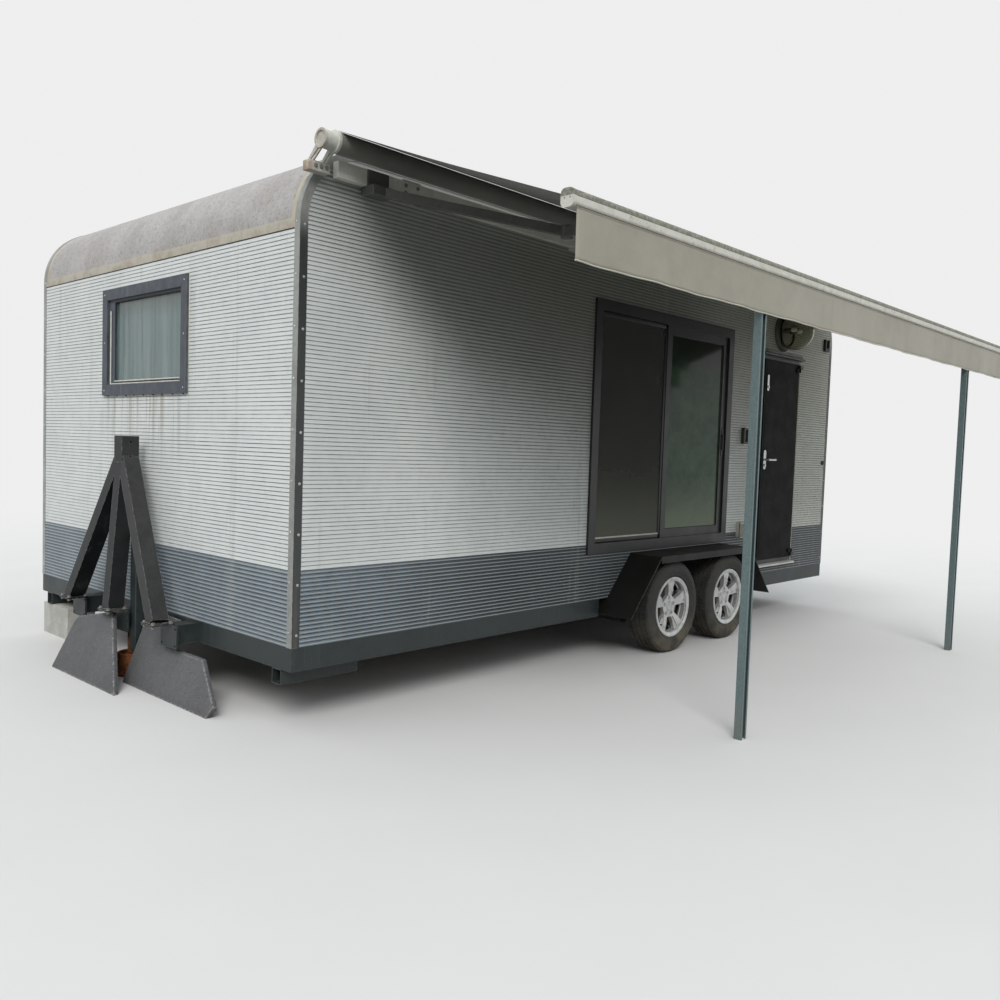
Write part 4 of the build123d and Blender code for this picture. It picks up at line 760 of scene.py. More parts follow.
def put_lathe(bm, profile, place, steps):
    """Closed turned shape from (axial, radius) pairs; `place` turns (axial, across, up) into a point."""
    rings = []
    for step in range(steps):
        angle = 2 * pi * step / steps
        rings.append([bm.verts.new(place(axial, radius * sin(angle), radius * cos(angle)))
                      for axial, radius in profile])
    for step in range(steps):
        first, second = rings[step], rings[(step + 1) % steps]
        for number in range(len(profile)):
            after = (number + 1) % len(profile)
            bm.faces.new((first[number], first[after], second[after], second[number]))
    bmesh.ops.remove_doubles(bm, verts=bm.verts, dist=1e-6)


def box_mesh(*boxes):
    """Mesh of boxes, each given as its two corners and its bevel."""
    bm = bmesh.new()
    for box in boxes:
        put_box(bm, *box)
    return mesh_from(bm)


def lathe_mesh(profile, steps, *places):
    """Mesh of one turned shape at each of the places."""
    bm = bmesh.new()
    for place in places:
        put_lathe(bm, profile, place, steps)
    return mesh_from(bm)


def prism_mesh(*prism):
    bm = bmesh.new()
    put_prism(bm, *prism)
    return mesh_from(bm)


def loose_object(data):
    """Object that only lends its shape."""
    obj = bpy.data.objects.new("loose", data)
    scene.collection.objects.link(obj)
    return obj


def evaluated_mesh(obj):
    """Plain mesh of an object with its modifiers, in place; the object is removed."""
    bpy.context.view_layer.update()
    graph = bpy.context.evaluated_depsgraph_get()
    mesh = bpy.data.meshes.new_from_object(obj.evaluated_get(graph), depsgraph=graph)
    mesh.transform(obj.matrix_world)
    bpy.data.objects.remove(obj)
    return mesh


def carved(obj, tools, ease=0.0):
    """Mesh of an object kept inside or cut by others, its edges eased; the others are removed."""
    for operation, tool in tools:
        cut = obj.modifiers.new("cut", "BOOLEAN")
        cut.operation, cut.solver, cut.object = operation, "EXACT", tool
    if ease:
        bevel = obj.modifiers.new("ease", "BEVEL")
        bevel.width, bevel.segments = ease, 2
    mesh = evaluated_mesh(obj)
    for operation, tool in tools:
        bpy.data.objects.remove(tool)
    return mesh


def side_place(u, v, depth):
    return Vector((u, depth, v))


def end_place(u, v, depth):
    return Vector((depth, u, v))


def rectangle(left, right, low, high):
    return [(left, low), (right, low), (right, high), (left, high)]


def line(*points):
    """Open line for beads."""
    return points, False


def loop(place, depth, *sides):
    """Closed line for beads, round a rectangle at a depth."""
    return [place(u, v, depth) for u, v in rectangle(*sides)], True


def beads(lines, radius, sides=3):
    """Mesh of round beads laid along lines; each line is its points and whether it closes."""
    curve = bpy.data.curves.new("beads", "CURVE")
    curve.dimensions = "3D"
    curve.bevel_depth = radius
    curve.bevel_resolution = sides
    curve.use_fill_caps = True
    for points, closed in lines:
        spline = curve.splines.new("POLY")
        spline.points.add(len(points) - 1)
        for point, place in zip(spline.points, points):
            point.co = (*place, 1.0)
        spline.use_cyclic_u = closed
    return evaluated_mesh(loose_object(curve))


def cloth(name, points, columns, thickness, finish, turned=False):
    """Thin sheet over rows of points; `turned` runs its faces the other way round."""
    faces = []
    for first in range(len(points) - columns):
        if (first + 1) % columns:
            face = (first, first + 1, first + columns + 1, first + columns)
            faces.append(face[:1] + face[:0:-1] if turned else face)
    mesh = bpy.data.meshes.new(name)
    mesh.from_pydata(points, [], faces)
    obj = piece(name, mesh, finish)
    thick = obj.modifiers.new("cloth", "SOLIDIFY")
    thick.thickness, thick.offset = thickness, 0.0
    return smooth(obj, 60)


# Geometry Nodes
def tree_inputs(name, *inputs):
    """New geometry tree with named inputs; gives them, its geometry first and its finish last."""
    inputs = [("Geometry", "Geometry"), *inputs, ("Finish", "Material")]
    return new_group(name, "GeometryNodeTree", inputs, ("Geometry", "Geometry"))


def give(obj, tree, **values):
    """Put a tree on an object and set its inputs by their sockets' identifiers."""
    modifier = obj.modifiers.new("tree", "NODES")
    modifier.node_group = tree
    sockets = {s.name: s.identifier for s in tree.interface.items_tree if s.in_out == "INPUT"}
    for key, value in values.items():
        modifier[sockets[key.replace("_", " ")]] = value
    return obj


def pick(index, values):
    """The value whose number is the index."""
    node = index.tree.nodes.new("GeometryNodeIndexSwitch")
    node.data_type = "FLOAT"
    while len(node.index_switch_items) < len(values):
        node.index_switch_items.new()
    index.tree.links.new(index.socket, node.inputs[0])
    for number, value in enumerate(values):
        node.inputs[number + 1].default_value = value
    return Value(node.outputs[0])


def merged(*meshes):
    node = meshes[0].tree.nodes.new("GeometryNodeJoinGeometry")
    for mesh in meshes:
        mesh.tree.links.new(mesh.socket, node.inputs[0])
    return Value(node.outputs[0])


def made_real(geometry, finish):
    """End of a tree: copies made real, and the finish set."""
    real = add(geometry.tree, "GeometryNodeRealizeInstances", {0: geometry})
    return give_out(add(geometry.tree, "GeometryNodeSetMaterial", {"Geometry": real, "Material": finish}))


def copies(points, shape, turn):
    inputs = {"Points": points, "Instance": shape, "Rotation": turn}
    return add(points.tree, "GeometryNodeInstanceOnPoints", inputs)


# Height within a rib and how far the sheet stands out there, as shares of the pitch and the depth
RIB = ((0.0, 0.0), (0.07, 1.0), (0.8, 0.82), (0.9, 0.0))


def make_siding_tree():
    """Solid sheet of lapped ribs: its section is drawn point by point, filled and drawn out to length."""
    seed, length, ribs, pitch, depth, back, finish = tree_inputs(
        "ribbed siding", ("Length", "Float"), ("Ribs", "Int"), ("Pitch", "Float"), ("Depth", "Float"),
        ("Back", "Float"))
    tree = seed.tree
    count = ribs * len(RIB)
    points = add(tree, "GeometryNodeMeshLine", {"Count": count + 2, "Offset": (0, 0, 0)})
    index = add(tree, "GeometryNodeInputIndex")
    rib = calc("FLOOR", (index + 0.01) / len(RIB))
    step = calc("ROUND", index - rib * len(RIB))
    up = (rib + pick(step, [height for height, reach in RIB])) * pitch
    out = pick(step, [reach for height, reach in RIB]) * depth
    # The outline's last two points run up and down the back
    on_front = index < count
    end_up = (index < count + 1) * ribs * pitch
    ends = ((out, back * -1.0), (up, end_up))
    place = joined(*(on_front * ahead + (1.0 - on_front) * end for ahead, end in ends))
    curve = add(tree, "GeometryNodeMeshToCurve", {
        0: add(tree, "GeometryNodeSetPosition", {"Geometry": points, "Position": place})})
    closed = add(tree, "GeometryNodeSetSplineCyclic", {"Geometry": curve, "Cyclic": True})
    face = add(tree, "GeometryNodeFillCurve", {"Curve": closed}, mode="NGONS")
    drawn_out = {"Mesh": face, "Offset": joined(0.0, 0.0, length), "Individual": False}
    long = add(tree, "GeometryNodeExtrudeMesh", drawn_out, mode="FACES")
    both = merged(long, add(tree, "GeometryNodeFlipFaces", {0: face}))
    whole = add(tree, "GeometryNodeMergeByDistance", {"Geometry": both, "Distance": 1e-6})
    turned = add(tree, "GeometryNodeTransform", {"Geometry": whole, "Rotation": (pi / 2, 0, pi / 2)})
    return made_real(turned, finish)


def make_fastener_tree():
    """A washer and a head on every point, turned to the point's own direction."""
    points, radius, height, sides, crown, washer_radius, washer_height, finish = tree_inputs(
        "fasteners", ("Head radius", "Float"), ("Head height", "Float"), ("Sides", "Int"), ("Crown", "Float"),
        ("Washer radius", "Float"), ("Washer height", "Float"))
    tree = points.tree
    disc = {"Vertices": 14, "Radius": washer_radius, "Depth": washer_height}
    washer = add(tree, "GeometryNodeMeshCylinder", disc)
    lifted = joined(0.0, 0.0, washer_height * 0.5)
    washer = add(tree, "GeometryNodeTransform", {"Geometry": washer, "Translation": lifted})
    head = add(tree, "GeometryNodeMeshCone", {"Vertices": sides, "Radius Bottom": radius,
                                              "Radius Top": radius * crown, "Depth": height})
    seated = joined(0.0, 0.0, washer_height)
    head = add(tree, "GeometryNodeTransform", {"Geometry": head, "Translation": seated})
    facing_way = add(tree, "GeometryNodeInputNamedAttribute", {"Name": "facing"}, data_type="FLOAT_VECTOR")
    turn = add(tree, "FunctionNodeAlignRotationToVector", {"Vector": facing_way}, axis="Z")
    return made_real(copies(points, merged(washer, head), turn), finish)


def make_ring_tree():
    """Copies of a shape, evenly turned about an axis through the origin."""
    shape, count, axis, finish = tree_inputs("ring of copies", ("Copies", "Int"), ("Axis", "Vector"))
    tree = shape.tree
    spots = add(tree, "GeometryNodeMeshLine", {"Count": count, "Offset": (0, 0, 0)})
    angle = add(tree, "GeometryNodeInputIndex") * (2 * pi / count)
    turn = add(tree, "FunctionNodeAxisAngleToRotation", {"Axis": axis, "Angle": angle})
    return made_real(copies(spots, shape, turn), finish)


SIDING_TREE, FASTENER_TREE, RING_TREE = make_siding_tree(), make_fastener_tree(), make_ring_tree()

# Head radius, head height, sides, crown, washer radius, washer height
PAN_SCREW = (0.0042, 0.0022, 12, 0.55, 0.0055, 0.0006)
TRIM_SCREW = (0.0052, 0.003, 12, 0.6, 0.007, 0.0008)
CAP_SCREW = (0.0035, 0.0008, 12, 0.7, 0.0042, 0.0002)
HEX_BOLT = (0.0105, 0.009, 6, 0.94, 0.0135, 0.0025)
AWNING_BOLT = (0.0075, 0.006, 6, 0.94, 0.0105, 0.0015)
LUG_NUT = (0.0108, 0.013, 6, 0.8, 0.0122, 0.002)


def fasteners(name, places, kind, finish=ZINC_SCREW, body="caravan"):
    """Screws or bolts at (point, direction) places, as one piece."""
    mesh = bpy.data.meshes.new("points")
    mesh.from_pydata([tuple(point) for point, direction in places], [], [])
    mesh.attributes.new("facing", "FLOAT_VECTOR", "POINT")
    mesh.attributes["facing"].data.foreach_set("vector", [c for point, direction in places for c in direction])
    radius, height, sides, crown, washer, thickness = kind
    obj = give(loose_object(mesh), FASTENER_TREE, Head_radius=radius, Head_height=height, Sides=sides,
               Crown=crown, Washer_radius=washer, Washer_height=thickness, Finish=finish)
    return smooth(piece(name, evaluated_mesh(obj), None, body))


# Siding skins
def rounded_outline(inset):
    """Side view of the body inside its trims."""
    front, rear = FRONT_FACE - inset, REAR_FACE + inset
    low, top = SIDING_BASE, wall_high.z - inset
    radius, points = CURVE_RADIUS - inset, [(rear, low), (front, low)]
    for centre, start in ((front - radius, 0), (rear + radius, 90)):
        for step in range(19):
            angle = radians(start + 5 * step)
            points.append((centre + radius * cos(angle), top - radius + radius * sin(angle)))
    return points


def fender_outline(grow):
    """Side view of a fender, grown a little."""
    low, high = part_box("fenders")
    middle, half_low = (low.x + high.x) / 2, (high.x - low.x) / 2
    half_top = half_low - (high.z - low.z) * FENDER_SLOPE
    return [(middle - half_low - grow, low.z), (middle + half_low + grow, low.z),
            (middle + half_top + grow, high.z + grow), (middle - half_top - grow, high.z + grow)]


def siding(name, start, heading, size, finish, keep, openings, place, face):
    """Ribbed sheet of a (length, height) from a low corner along a heading, kept inside one outline and cut."""
    skin = give(loose_object(bpy.data.meshes.new("seed")), SIDING_TREE, Length=size[0],
                Ribs=int(size[1] / RIB_PITCH) + 1, Pitch=RIB_PITCH, Depth=RIB_DEPTH, Back=SKIN_BACK,
                Finish=finish)
    skin.matrix_world = Matrix.Translation(start) @ Matrix.Rotation(heading, 4, "Z")
    low, high = face - CUT_REACH, face + CUT_REACH
    holes = [loose_object(prism_mesh(outline, low - 0.01, high + 0.01, place)) for outline in openings]
    tools = [("INTERSECT", loose_object(prism_mesh(keep, low, high, place)))]
    piece(name, carved(skin, tools + [("DIFFERENCE", hole) for hole in holes]), None)


def side_skin(name, face, start, heading, openings):
    """Skin of one side wall; its length runs forwards on the left and rearwards on the right."""
    siding(name, (start, face, SIDING_BASE), heading, (FRONT_FACE - REAR_FACE, wall_high.z - SIDING_BASE),
           SIDE_SIDING, rounded_outline(TRIM_WIDTH - SKIN_MARGIN), openings, side_place, face)


def end_skin(name, face, start, heading, finish, openings):
    """Skin of one end wall, below its flashing and between the trims."""
    inset = TRIM_WIDTH - SKIN_MARGIN
    keep = rectangle(RIGHT_FACE + inset, LEFT_FACE - inset, SIDING_BASE, FLASHING_LOW)
    siding(name, (face, start, SIDING_BASE), heading, (LEFT_FACE - RIGHT_FACE, FLASHING_LOW - SIDING_BASE),
           finish, keep, openings, end_place, face)


def make_siding():
    lap = 0.003
    patio = rectangle(patio_low.x + lap, patio_high.x - lap, patio_low.z + lap, patio_high.z - lap)
    door = rectangle(frame_low.x, frame_high.x, frame_low.z, frame_high.z)
    port = rectangle(port_low.y + lap, port_high.y - lap, port_low.z + lap, port_high.z - lap)
    fender = fender_outline(0.004)
    side_skin("siding_left", LEFT_FACE, REAR_FACE, 0, [patio, door, fender])
    side_skin("siding_right", RIGHT_FACE, FRONT_FACE, pi, [fender])
    end_skin("siding_front", FRONT_FACE, LEFT_FACE, -pi / 2, FRONT_SIDING, [port])
    end_skin("siding_rear", REAR_FACE, RIGHT_FACE, pi / 2, SIDE_SIDING, [])


# Beads and screws on the shell
def make_seals():
    """Caulk under the flashings and sealant round the windows."""
    caulk = [line((x, RIGHT_FACE + TRIM_WIDTH, FLASHING_LOW), (x, LEFT_FACE - TRIM_WIDTH, FLASHING_LOW))
             for x in (FRONT_FACE + 0.0012, REAR_FACE - 0.0006)]
    piece("flashing_caulk", beads(caulk, 0.0024), DARK_CAULK)
    patio = loop(side_place, LEFT_FACE + 0.001, patio_low.x, patio_high.x, patio_low.z, patio_high.z)
    piece("patio_window_sealant", beads([patio], 0.0034), DARK_CAULK)
    x = FRONT_FACE + 0.001
    port = loop(end_place, x, port_low.y, port_high.y, port_low.z, port_high.z)
    piece("front_window_sealant", beads([port], 0.0042), SEALANT)
    drips = []
    for number in range(9):
        place = port_low.y + (number + 0.4) * (port_high.y - port_low.y) / 9
        drips.append(line((x + 0.002, place, port_low.z + 0.003),
                          (x + 0.002, place + 0.012 + 0.008 * (number % 3), port_low.z - 0.004)))
    piece("front_window_sealant_drips", beads(drips, 0.0045), DARK_CAULK)


def make_trim_screws():
    """Screws up the corner trims and along the roof strips of both sides."""
    trim_low, trim_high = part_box("edge_trims")
    first, last = SIDING_BASE + 0.06, wall_high.z - CURVE_RADIUS - 0.02
    places = []
    for side, edge, face in ((1, LEFT_FACE, trim_high.y), (-1, RIGHT_FACE, trim_low.y)):
        for outward, wall, end in ((1, FRONT_FACE, trim_high.x), (-1, REAR_FACE, trim_low.x)):
            for step in range(9):
                z = first + step * (last - first) / 8
                places.append(((wall - outward * SCREW_INSET, face, z), (0, side, 0)))
                if outward > 0:
                    places.append(((end, edge - side * SCREW_INSET, z + 0.012), (outward, 0, 0)))
        for step in range(17):
            x = REAR_FACE + 0.3 + step * (FRONT_FACE - REAR_FACE - 0.6) / 16
            if CURVE_RADIUS < x - REAR_FACE < FRONT_FACE - REAR_FACE - CURVE_RADIUS:
                places.append(((x, face, wall_high.z - 0.022), (0, side, 0)))
    fasteners("trim_screws", places, TRIM_SCREW)


# Window fittings
def make_front_window():
    """Gasket and glazing strips at the glass, screws in the flange and the joints of its corners."""
    low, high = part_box("front_window_glass")
    x = port_high.x - 0.015
    gasket = loop(end_place, x, low.y, high.y, low.z, high.z)
    piece("front_window_gasket", beads([gasket], 0.004), GASKET)
    strip = 0.0045
    out, left, right = x + strip, low.y - 0.052, high.y - 0.006
    pale = [line((out, left, low.z - 0.012), (out, right, low.z - 0.012)),
            line((out, left, low.z - 0.012), (out, left, high.z - 0.05)),
            line((out, low.y + 0.004, low.z + 0.004), (out, right, low.z + 0.004))]
    piece("front_window_glazing_strips", beads(pale, strip), PALE_STRIP)
    face = port_high.x
    screws = [((face, y, z), (1, 0, 0)) for y in (port_low.y + 0.03, port_high.y - 0.03)
              for z in (port_low.z + 0.03, (port_low.z + port_high.z) / 2, port_high.z - 0.03)]
    fasteners("front_window_screws", screws, PAN_SCREW)
    corners = [(y, inward, z, rise) for y, inward in ((port_low.y, 1), (port_high.y, -1))
               for z, rise in ((port_low.z, 1), (port_high.z, -1))]
    mitres = [line(*((face, y + inward * reach, z + rise * reach) for reach in (0.002, 0.062)))
              for y, inward, z, rise in corners]
    piece("front_window_mitre_joints", beads(mitres, 0.0007, 1), GASKET)


def make_patio_window():
    """Gaskets round both panes, a screen in its frame before the front pane, a pull and a sill strip."""
    sash_low, sash_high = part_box("patio_sashes")
    middle = (pane_low.x + pane_high.x) / 2
    rear, front = middle + SASH_BAR / 2, patio_high.x - FRAME_FLANGE - PATIO_BAR
    gaskets = [loop(side_place, y, first, last, pane_low.z, pane_high.z) for first, last, y in
               ((pane_low.x, middle - SASH_BAR / 2, pane_high.y), (rear, pane_high.x, pane_low.y + 0.006))]
    piece("patio_gaskets", beads(gaskets, 0.0045), GASKET)
    y, bar = sash_high.y - 0.004, SCREEN_BAR
    low, high = sash_low.z + 0.004, sash_high.z - 0.004
    sides = ((rear, low, rear + bar, high), (front - bar, low, front, high),
             (rear, low, front, low + bar), (rear, high - bar, front, high))
    bars = box_mesh(*(((x, y - 0.012, z), (x_end, y, z_end), 0.0015) for x, z, x_end, z_end in sides))
    smooth(piece("screen_frame", bars, FRAME_BLACK))
    mesh = box_mesh(((rear + bar / 2, y - 0.0075, low + bar / 2),
                     (front - bar / 2, y - 0.0065, high - bar / 2)))
    piece("screen_mesh", mesh, SCREEN)
    strip = box_mesh(((rear + bar, y - 0.003, low + bar), (front - bar, y + 0.001, low + bar + 0.01), 0.001))
    piece("screen_pale_strip", strip, PALE_STRIP)
    x, z = sash_low.x + SASH_BAR / 2, (sash_low.z + sash_high.z) / 2 - 0.05
    plate, grip = (((x - wide, sash_high.y + back, z - tall), (x + wide, sash_high.y + out, z + tall), ease)
                   for wide, tall, back, out, ease in ((0.012, 0.11, -0.002, 0.004, 0.002),
                                                       (0.005, 0.06, 0.002, 0.013, 0.003)))
    smooth(piece("patio_sash_pull", box_mesh(plate, grip), FRAME_BLACK))


def make_curtain():
    """Curtain gathered behind the front pane, hanging from a rail."""
    tall = pane_high.z - pane_low.z - 0.02
    rail_y, rail_z = LEFT_FACE - 0.13, pane_high.z + 0.02
    start = (pane_low.x + pane_high.x) / 2 + 0.03
    columns, rows = 121, 13
    points = []
    for row in range(rows):
        fall = row / (rows - 1)
        for column in range(columns):
            share = column / (columns - 1)
            sway = 0.006 * sin(3.1 * CURTAIN_FOLDS * share + 2 * fall)
            x = start + share * CURTAIN_WIDTH * (1 + 0.12 * fall) + sway
            wave = sin(2 * pi * CURTAIN_FOLDS * share + 0.9 * sin(2.3 * fall))
            y = rail_y + CURTAIN_SWING * (0.6 + 0.4 * fall) * wave
            points.append((x, y, rail_z - 0.012 - fall * tall))
    curtain = cloth("curtain", points, columns, 0.0012, CURTAIN_CLOTH)
    rail = beads([line((start - 0.06, rail_y, rail_z), (pane_high.x + 0.02, rail_y, rail_z))], 0.009)
    piece("curtain_rail", rail, PALE_STRIP)
    # Length of the wave, measured in short steps
    steps, length = 400, 0.0
    wave = []
    for step in range(steps + 1):
        share = step / steps
        wave.append(Vector((share * CURTAIN_WIDTH, CURTAIN_SWING * 0.8 * sin(2 * pi * CURTAIN_FOLDS * share))))
    for here, after in zip(wave, wave[1:]):
        length += (after - here).length


# Door and porch lamp
def make_door():
    """Eased panel on the leaf and the weather strip round it."""
    low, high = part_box("door_leaf")
    face, margin = low.y + 0.04, 0.03
    left, right = low.x, low.x + LEAF_WIDTH
    panel = box_mesh(((left + margin, face - 0.002, low.z + margin),
                      (right - margin, face + 0.0014, high.z - margin), 0.0012))
    piece("door_skin_panel", panel, DOOR_BLACK, "door")
    seal = loop(side_place, face - 0.012, left - 0.003, right + 0.003, low.z - 0.003, high.z + 0.003)
    piece("door_weather_strip", beads([seal], 0.002), GASKET, "door")


def make_lamp():
    """Hollow bubble in place of the plain globe, with its holders, two bulbs and a reflector inside."""
    low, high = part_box("porch_lamp_globe")
    x, z = (low.x + high.x) / 2, (low.z + high.z) / 2
    radius = (high.x - low.x) / 2
    centre_y, seat = high.y - radius, low.y

    def place(axial, across, up):
        return Vector((x + across, centre_y + axial, z + up))

    edge = seat + 0.0005 - centre_y
    dome = []
    for shell, turn in ((radius, 1), (radius - 0.004, -1)):
        stop = atan2(sqrt(shell ** 2 - edge ** 2), edge)
        steps = [stop * step / 20 for step in range(21)]
        dome += [(shell * cos(a), max(shell * sin(a), POLE)) for a in steps[::turn]]
    bubble = smooth(piece("lamp_bubble", lathe_mesh(dome, 64, place), BUBBLE), 60)
    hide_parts("porch_lamp_globe")
    dish = [(edge, POLE), (edge, 0.122), (edge + 0.016, 0.126), (edge + 0.017, 0.122), (edge + 0.004, 0.112),
            (edge + 0.004, POLE)]
    smooth(piece("lamp_dish", lathe_mesh(dish, 48, place), LAMP_DARK))
    stem = [(edge + 0.002, POLE), (edge + 0.002, 0.019), (edge + 0.06, 0.017), (edge + 0.064, 0.014),
            (edge + 0.064, POLE)]
    bulb = [(edge + 0.06, POLE)] + [(edge + 0.06 + 0.026 * (1 - cos(a)), max(0.02 * sin(a), POLE))
                                    for a in (radians(15 + 11 * step) for step in range(16))]
    pair = [lambda axial, across, up, shift=shift: place(axial, across + shift, up + 0.012)
            for shift in (-BULB_SPACING / 2, BULB_SPACING / 2)]
    smooth(piece("lamp_holders", lathe_mesh(stem, 24, *pair), LAMP_BODY), 60)
    smooth(piece("lamp_bulbs", lathe_mesh(bulb, 24, *pair), LAMP_WHITE), 60)


# Wheels
# Tyre section from the tread's edge to the bead, with a rim guard and raised rings: each point's distance
# in from the side and in from the tread's floor
TYRE_SECTION = (
    (0.026, 0.0), (0.018, 0.001), (0.013, 0.005), (0.0075, 0.014), (0.004, 0.024), (0.0015, 0.036),
    (0.0, 0.047), (0.0004, 0.054), (0.0022, 0.0545), (0.003, 0.062), (0.0018, 0.0625), (0.0026, 0.066),
    (0.0042, 0.0665), (0.0095, 0.083), (0.0082, 0.0865), (0.0115, 0.0905), (0.0185, 0.0985), (0.0225, 0.117))
# Blocks across the tread: middle, half width, length along it as a share of the pitch, slant
TREAD_ROWS = ((-0.062, 0.0125, 0.80, 0.5), (-0.034, 0.0115, 0.88, 0.25), (0.0, 0.0125, 0.93, 0.0),
              (0.034, 0.0115, 0.88, -0.25), (0.062, 0.0125, 0.80, -0.5))


def tread_pitch_mesh(half, outer):
    """One pitch of tread: blocks of three straight ribs and two slanted shoulder lugs, with drafted sides."""
    bm = bmesh.new()
    arc = 2 * pi * outer / TREAD_PITCHES
    for middle, half_width, share, slant in TREAD_ROWS:
        corners = []
        for radius, grow in ((outer - TREAD_DEPTH - 0.001, 0.0012), (outer - 0.0004, 0.0)):
            for across in (-half_width - grow, half_width + grow):
                for along in (-arc * share / 2 - grow, arc * share / 2 + grow):
                    angle = (along + slant * across) / outer
                    far = radius - 0.0035 * abs(middle + across) ** 2 / half ** 2
                    corners.append(bm.verts.new((far * sin(angle), middle + across, far * cos(angle))))
        low, high = corners[:4], corners[4:]
        order = (0, 1, 3, 2)
        bm.faces.new([high[n] for n in order])
        bm.faces.new([low[n] for n in order[::-1]])
        for n in range(4):
            a, b = order[n], order[(n + 1) % 4]
            bm.faces.new((low[a], low[b], high[b], high[a]))
    return mesh_from(bm)


def tyre_mesh(half, outer):
    """Whole tyre about the origin, with its tread."""
    ring = give(loose_object(tread_pitch_mesh(half, outer)), RING_TREE, Copies=TREAD_PITCHES, Axis=(0, 1, 0),
                Finish=RUBBER)
    side = [(half - inward, outer - TREAD_DEPTH - down) for inward, down in TYRE_SECTION]
    profile = side[::-1] + [(-axial, radius) for axial, radius in side]
    bm = bmesh.new()
    put_lathe(bm, profile, lambda axial, across, up: Vector((across, axial, up)), 128)
    bmesh.ops.recalc_face_normals(bm, faces=bm.faces)
    bm.from_mesh(evaluated_mesh(ring))
    mesh = bpy.data.meshes.new("tyre")
    bm.to_mesh(mesh)
    bm.free()
    return mesh


def make_wheels():
    """Tyres with tread in place of the plain ones, lug nuts, valves and a disc in each hub cap."""
    low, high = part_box("tyre_front_left")
    outer, half = (high.x - low.x) / 2, (high.y - low.y) / 2
    tyre = tyre_mesh(half, outer)
    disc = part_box("hub_front_left")[1].y - low.y - half + 0.026
    cap = [(disc - 0.001, POLE), (disc - 0.001, 0.026), (disc + 0.0015, 0.025), (disc + 0.003, 0.021),
           (disc + 0.0026, 0.019), (disc + 0.0035, POLE)]
    for wheel in WHEELS:
        low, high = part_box(f"tyre_{wheel}")
        side = 1 if wheel.endswith("left") else -1
        place = Matrix.Translation((low + high) / 2) @ Matrix.Rotation(0 if side > 0 else pi, 4, "Z")
        body = f"wheel_{wheel}"
        mesh = tyre.copy()
        mesh.transform(place)
        shown = smooth(piece(f"treaded_tyre_{wheel}", mesh, RUBBER, body))
        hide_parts(f"tyre_{wheel}")
        nuts = []
        for number in range(LUGS):
            angle = 2 * pi * number / LUGS
            point = place @ Vector((LUG_CIRCLE * sin(angle), disc - 0.014, LUG_CIRCLE * cos(angle)))
            nuts.append((point, (0, side, 0)))
        fasteners(f"lug_nuts_{wheel}", nuts, LUG_NUT, CHROME, body)
        turned = lathe_mesh(cap, 40, lambda axial, across, up: place @ Vector((across, axial, up)))
        smooth(piece(f"wheel_cap_{wheel}", turned, ALLOY, body))
        stem = line(*(place @ Vector(point) for point in
                      ((0.118, disc - 0.012, -0.118), (0.114, disc + 0.022, -0.114))))
        smooth(piece(f"valve_{wheel}", beads([stem], 0.0045), GASKET, body))


# Awning
def make_canvas():
    """Canvas drawn from the roller to the lead rail with a slight sag."""
    low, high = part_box("awning_cloth")
    roller_low, roller_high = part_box("awning_roller")
    columns, rows = 141, 29
    start = Vector((0, (roller_low.y + roller_high.y) / 2 + 0.008, roller_high.z + 0.0035))
    end = Vector((0, high.y, low.z + 0.006))
    points = []
    for row in range(rows):
        share = row / (rows - 1)
        for column in range(columns):
            along = column / (columns - 1)
            sag = CLOTH_SAG * sin(pi * share) * (1 + 0.25 * sin(2 * pi * 3 * along + 0.7))
            sag += 0.0025 * sin(pi * share) * sin(2 * pi * 11 * along + 4 * share)
            pull = 0.006 * sin(pi * share) * (1 if column == 0 else -1 if column == columns - 1 else 0)
            points.append((low.x + along * (high.x - low.x) + pull, start.y + share * (end.y - start.y),
                           start.z + share * (end.z - start.z) - sag))
    canvas = cloth("canvas", points, columns, CLOTH_THICKNESS, CANVAS)
    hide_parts("awning_cloth")
    seams = []
    for number in range(1, 5):
        seam = points[number * (columns - 1) // 5::columns]
        seams.append(line(*(Vector(point) + Vector((0, 0, 0.0006)) for point in seam)))
    piece("canvas_seams", beads(seams, 0.0016, 1), CANVAS)


def make_valance():
    """Valance that hangs from the lead rail in slight waves, with its hem."""
    low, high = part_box("awning_valance")
    columns, rows = 281, 12
    middle = (low.y + high.y) / 2
    points = []
    for row in range(rows):
        drop = row / (rows - 1)
        for column in range(columns):
            along = column / (columns - 1)
            ripple = sin(2 * pi * 9 * along + 0.6) + 0.5 * sin(2 * pi * 23 * along + 1.9)
            wave = VALANCE_WAVE * drop ** 1.4 * ripple
            points.append((low.x + along * (high.x - low.x), middle + wave - 0.004 * drop,
                           high.z + 0.006 - drop * (high.z - low.z + 0.004)))
    valance = cloth("valance", points, columns, CLOTH_THICKNESS, VALANCE_CLOTH, turned=True)
    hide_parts("awning_valance")
    hem_line = line(*(Vector(point) + Vector((0, 0, 0.003)) for point in points[-columns:]))
    hem = piece("valance_hem", beads([hem_line], 0.0034, 2), HEM_CLOTH)


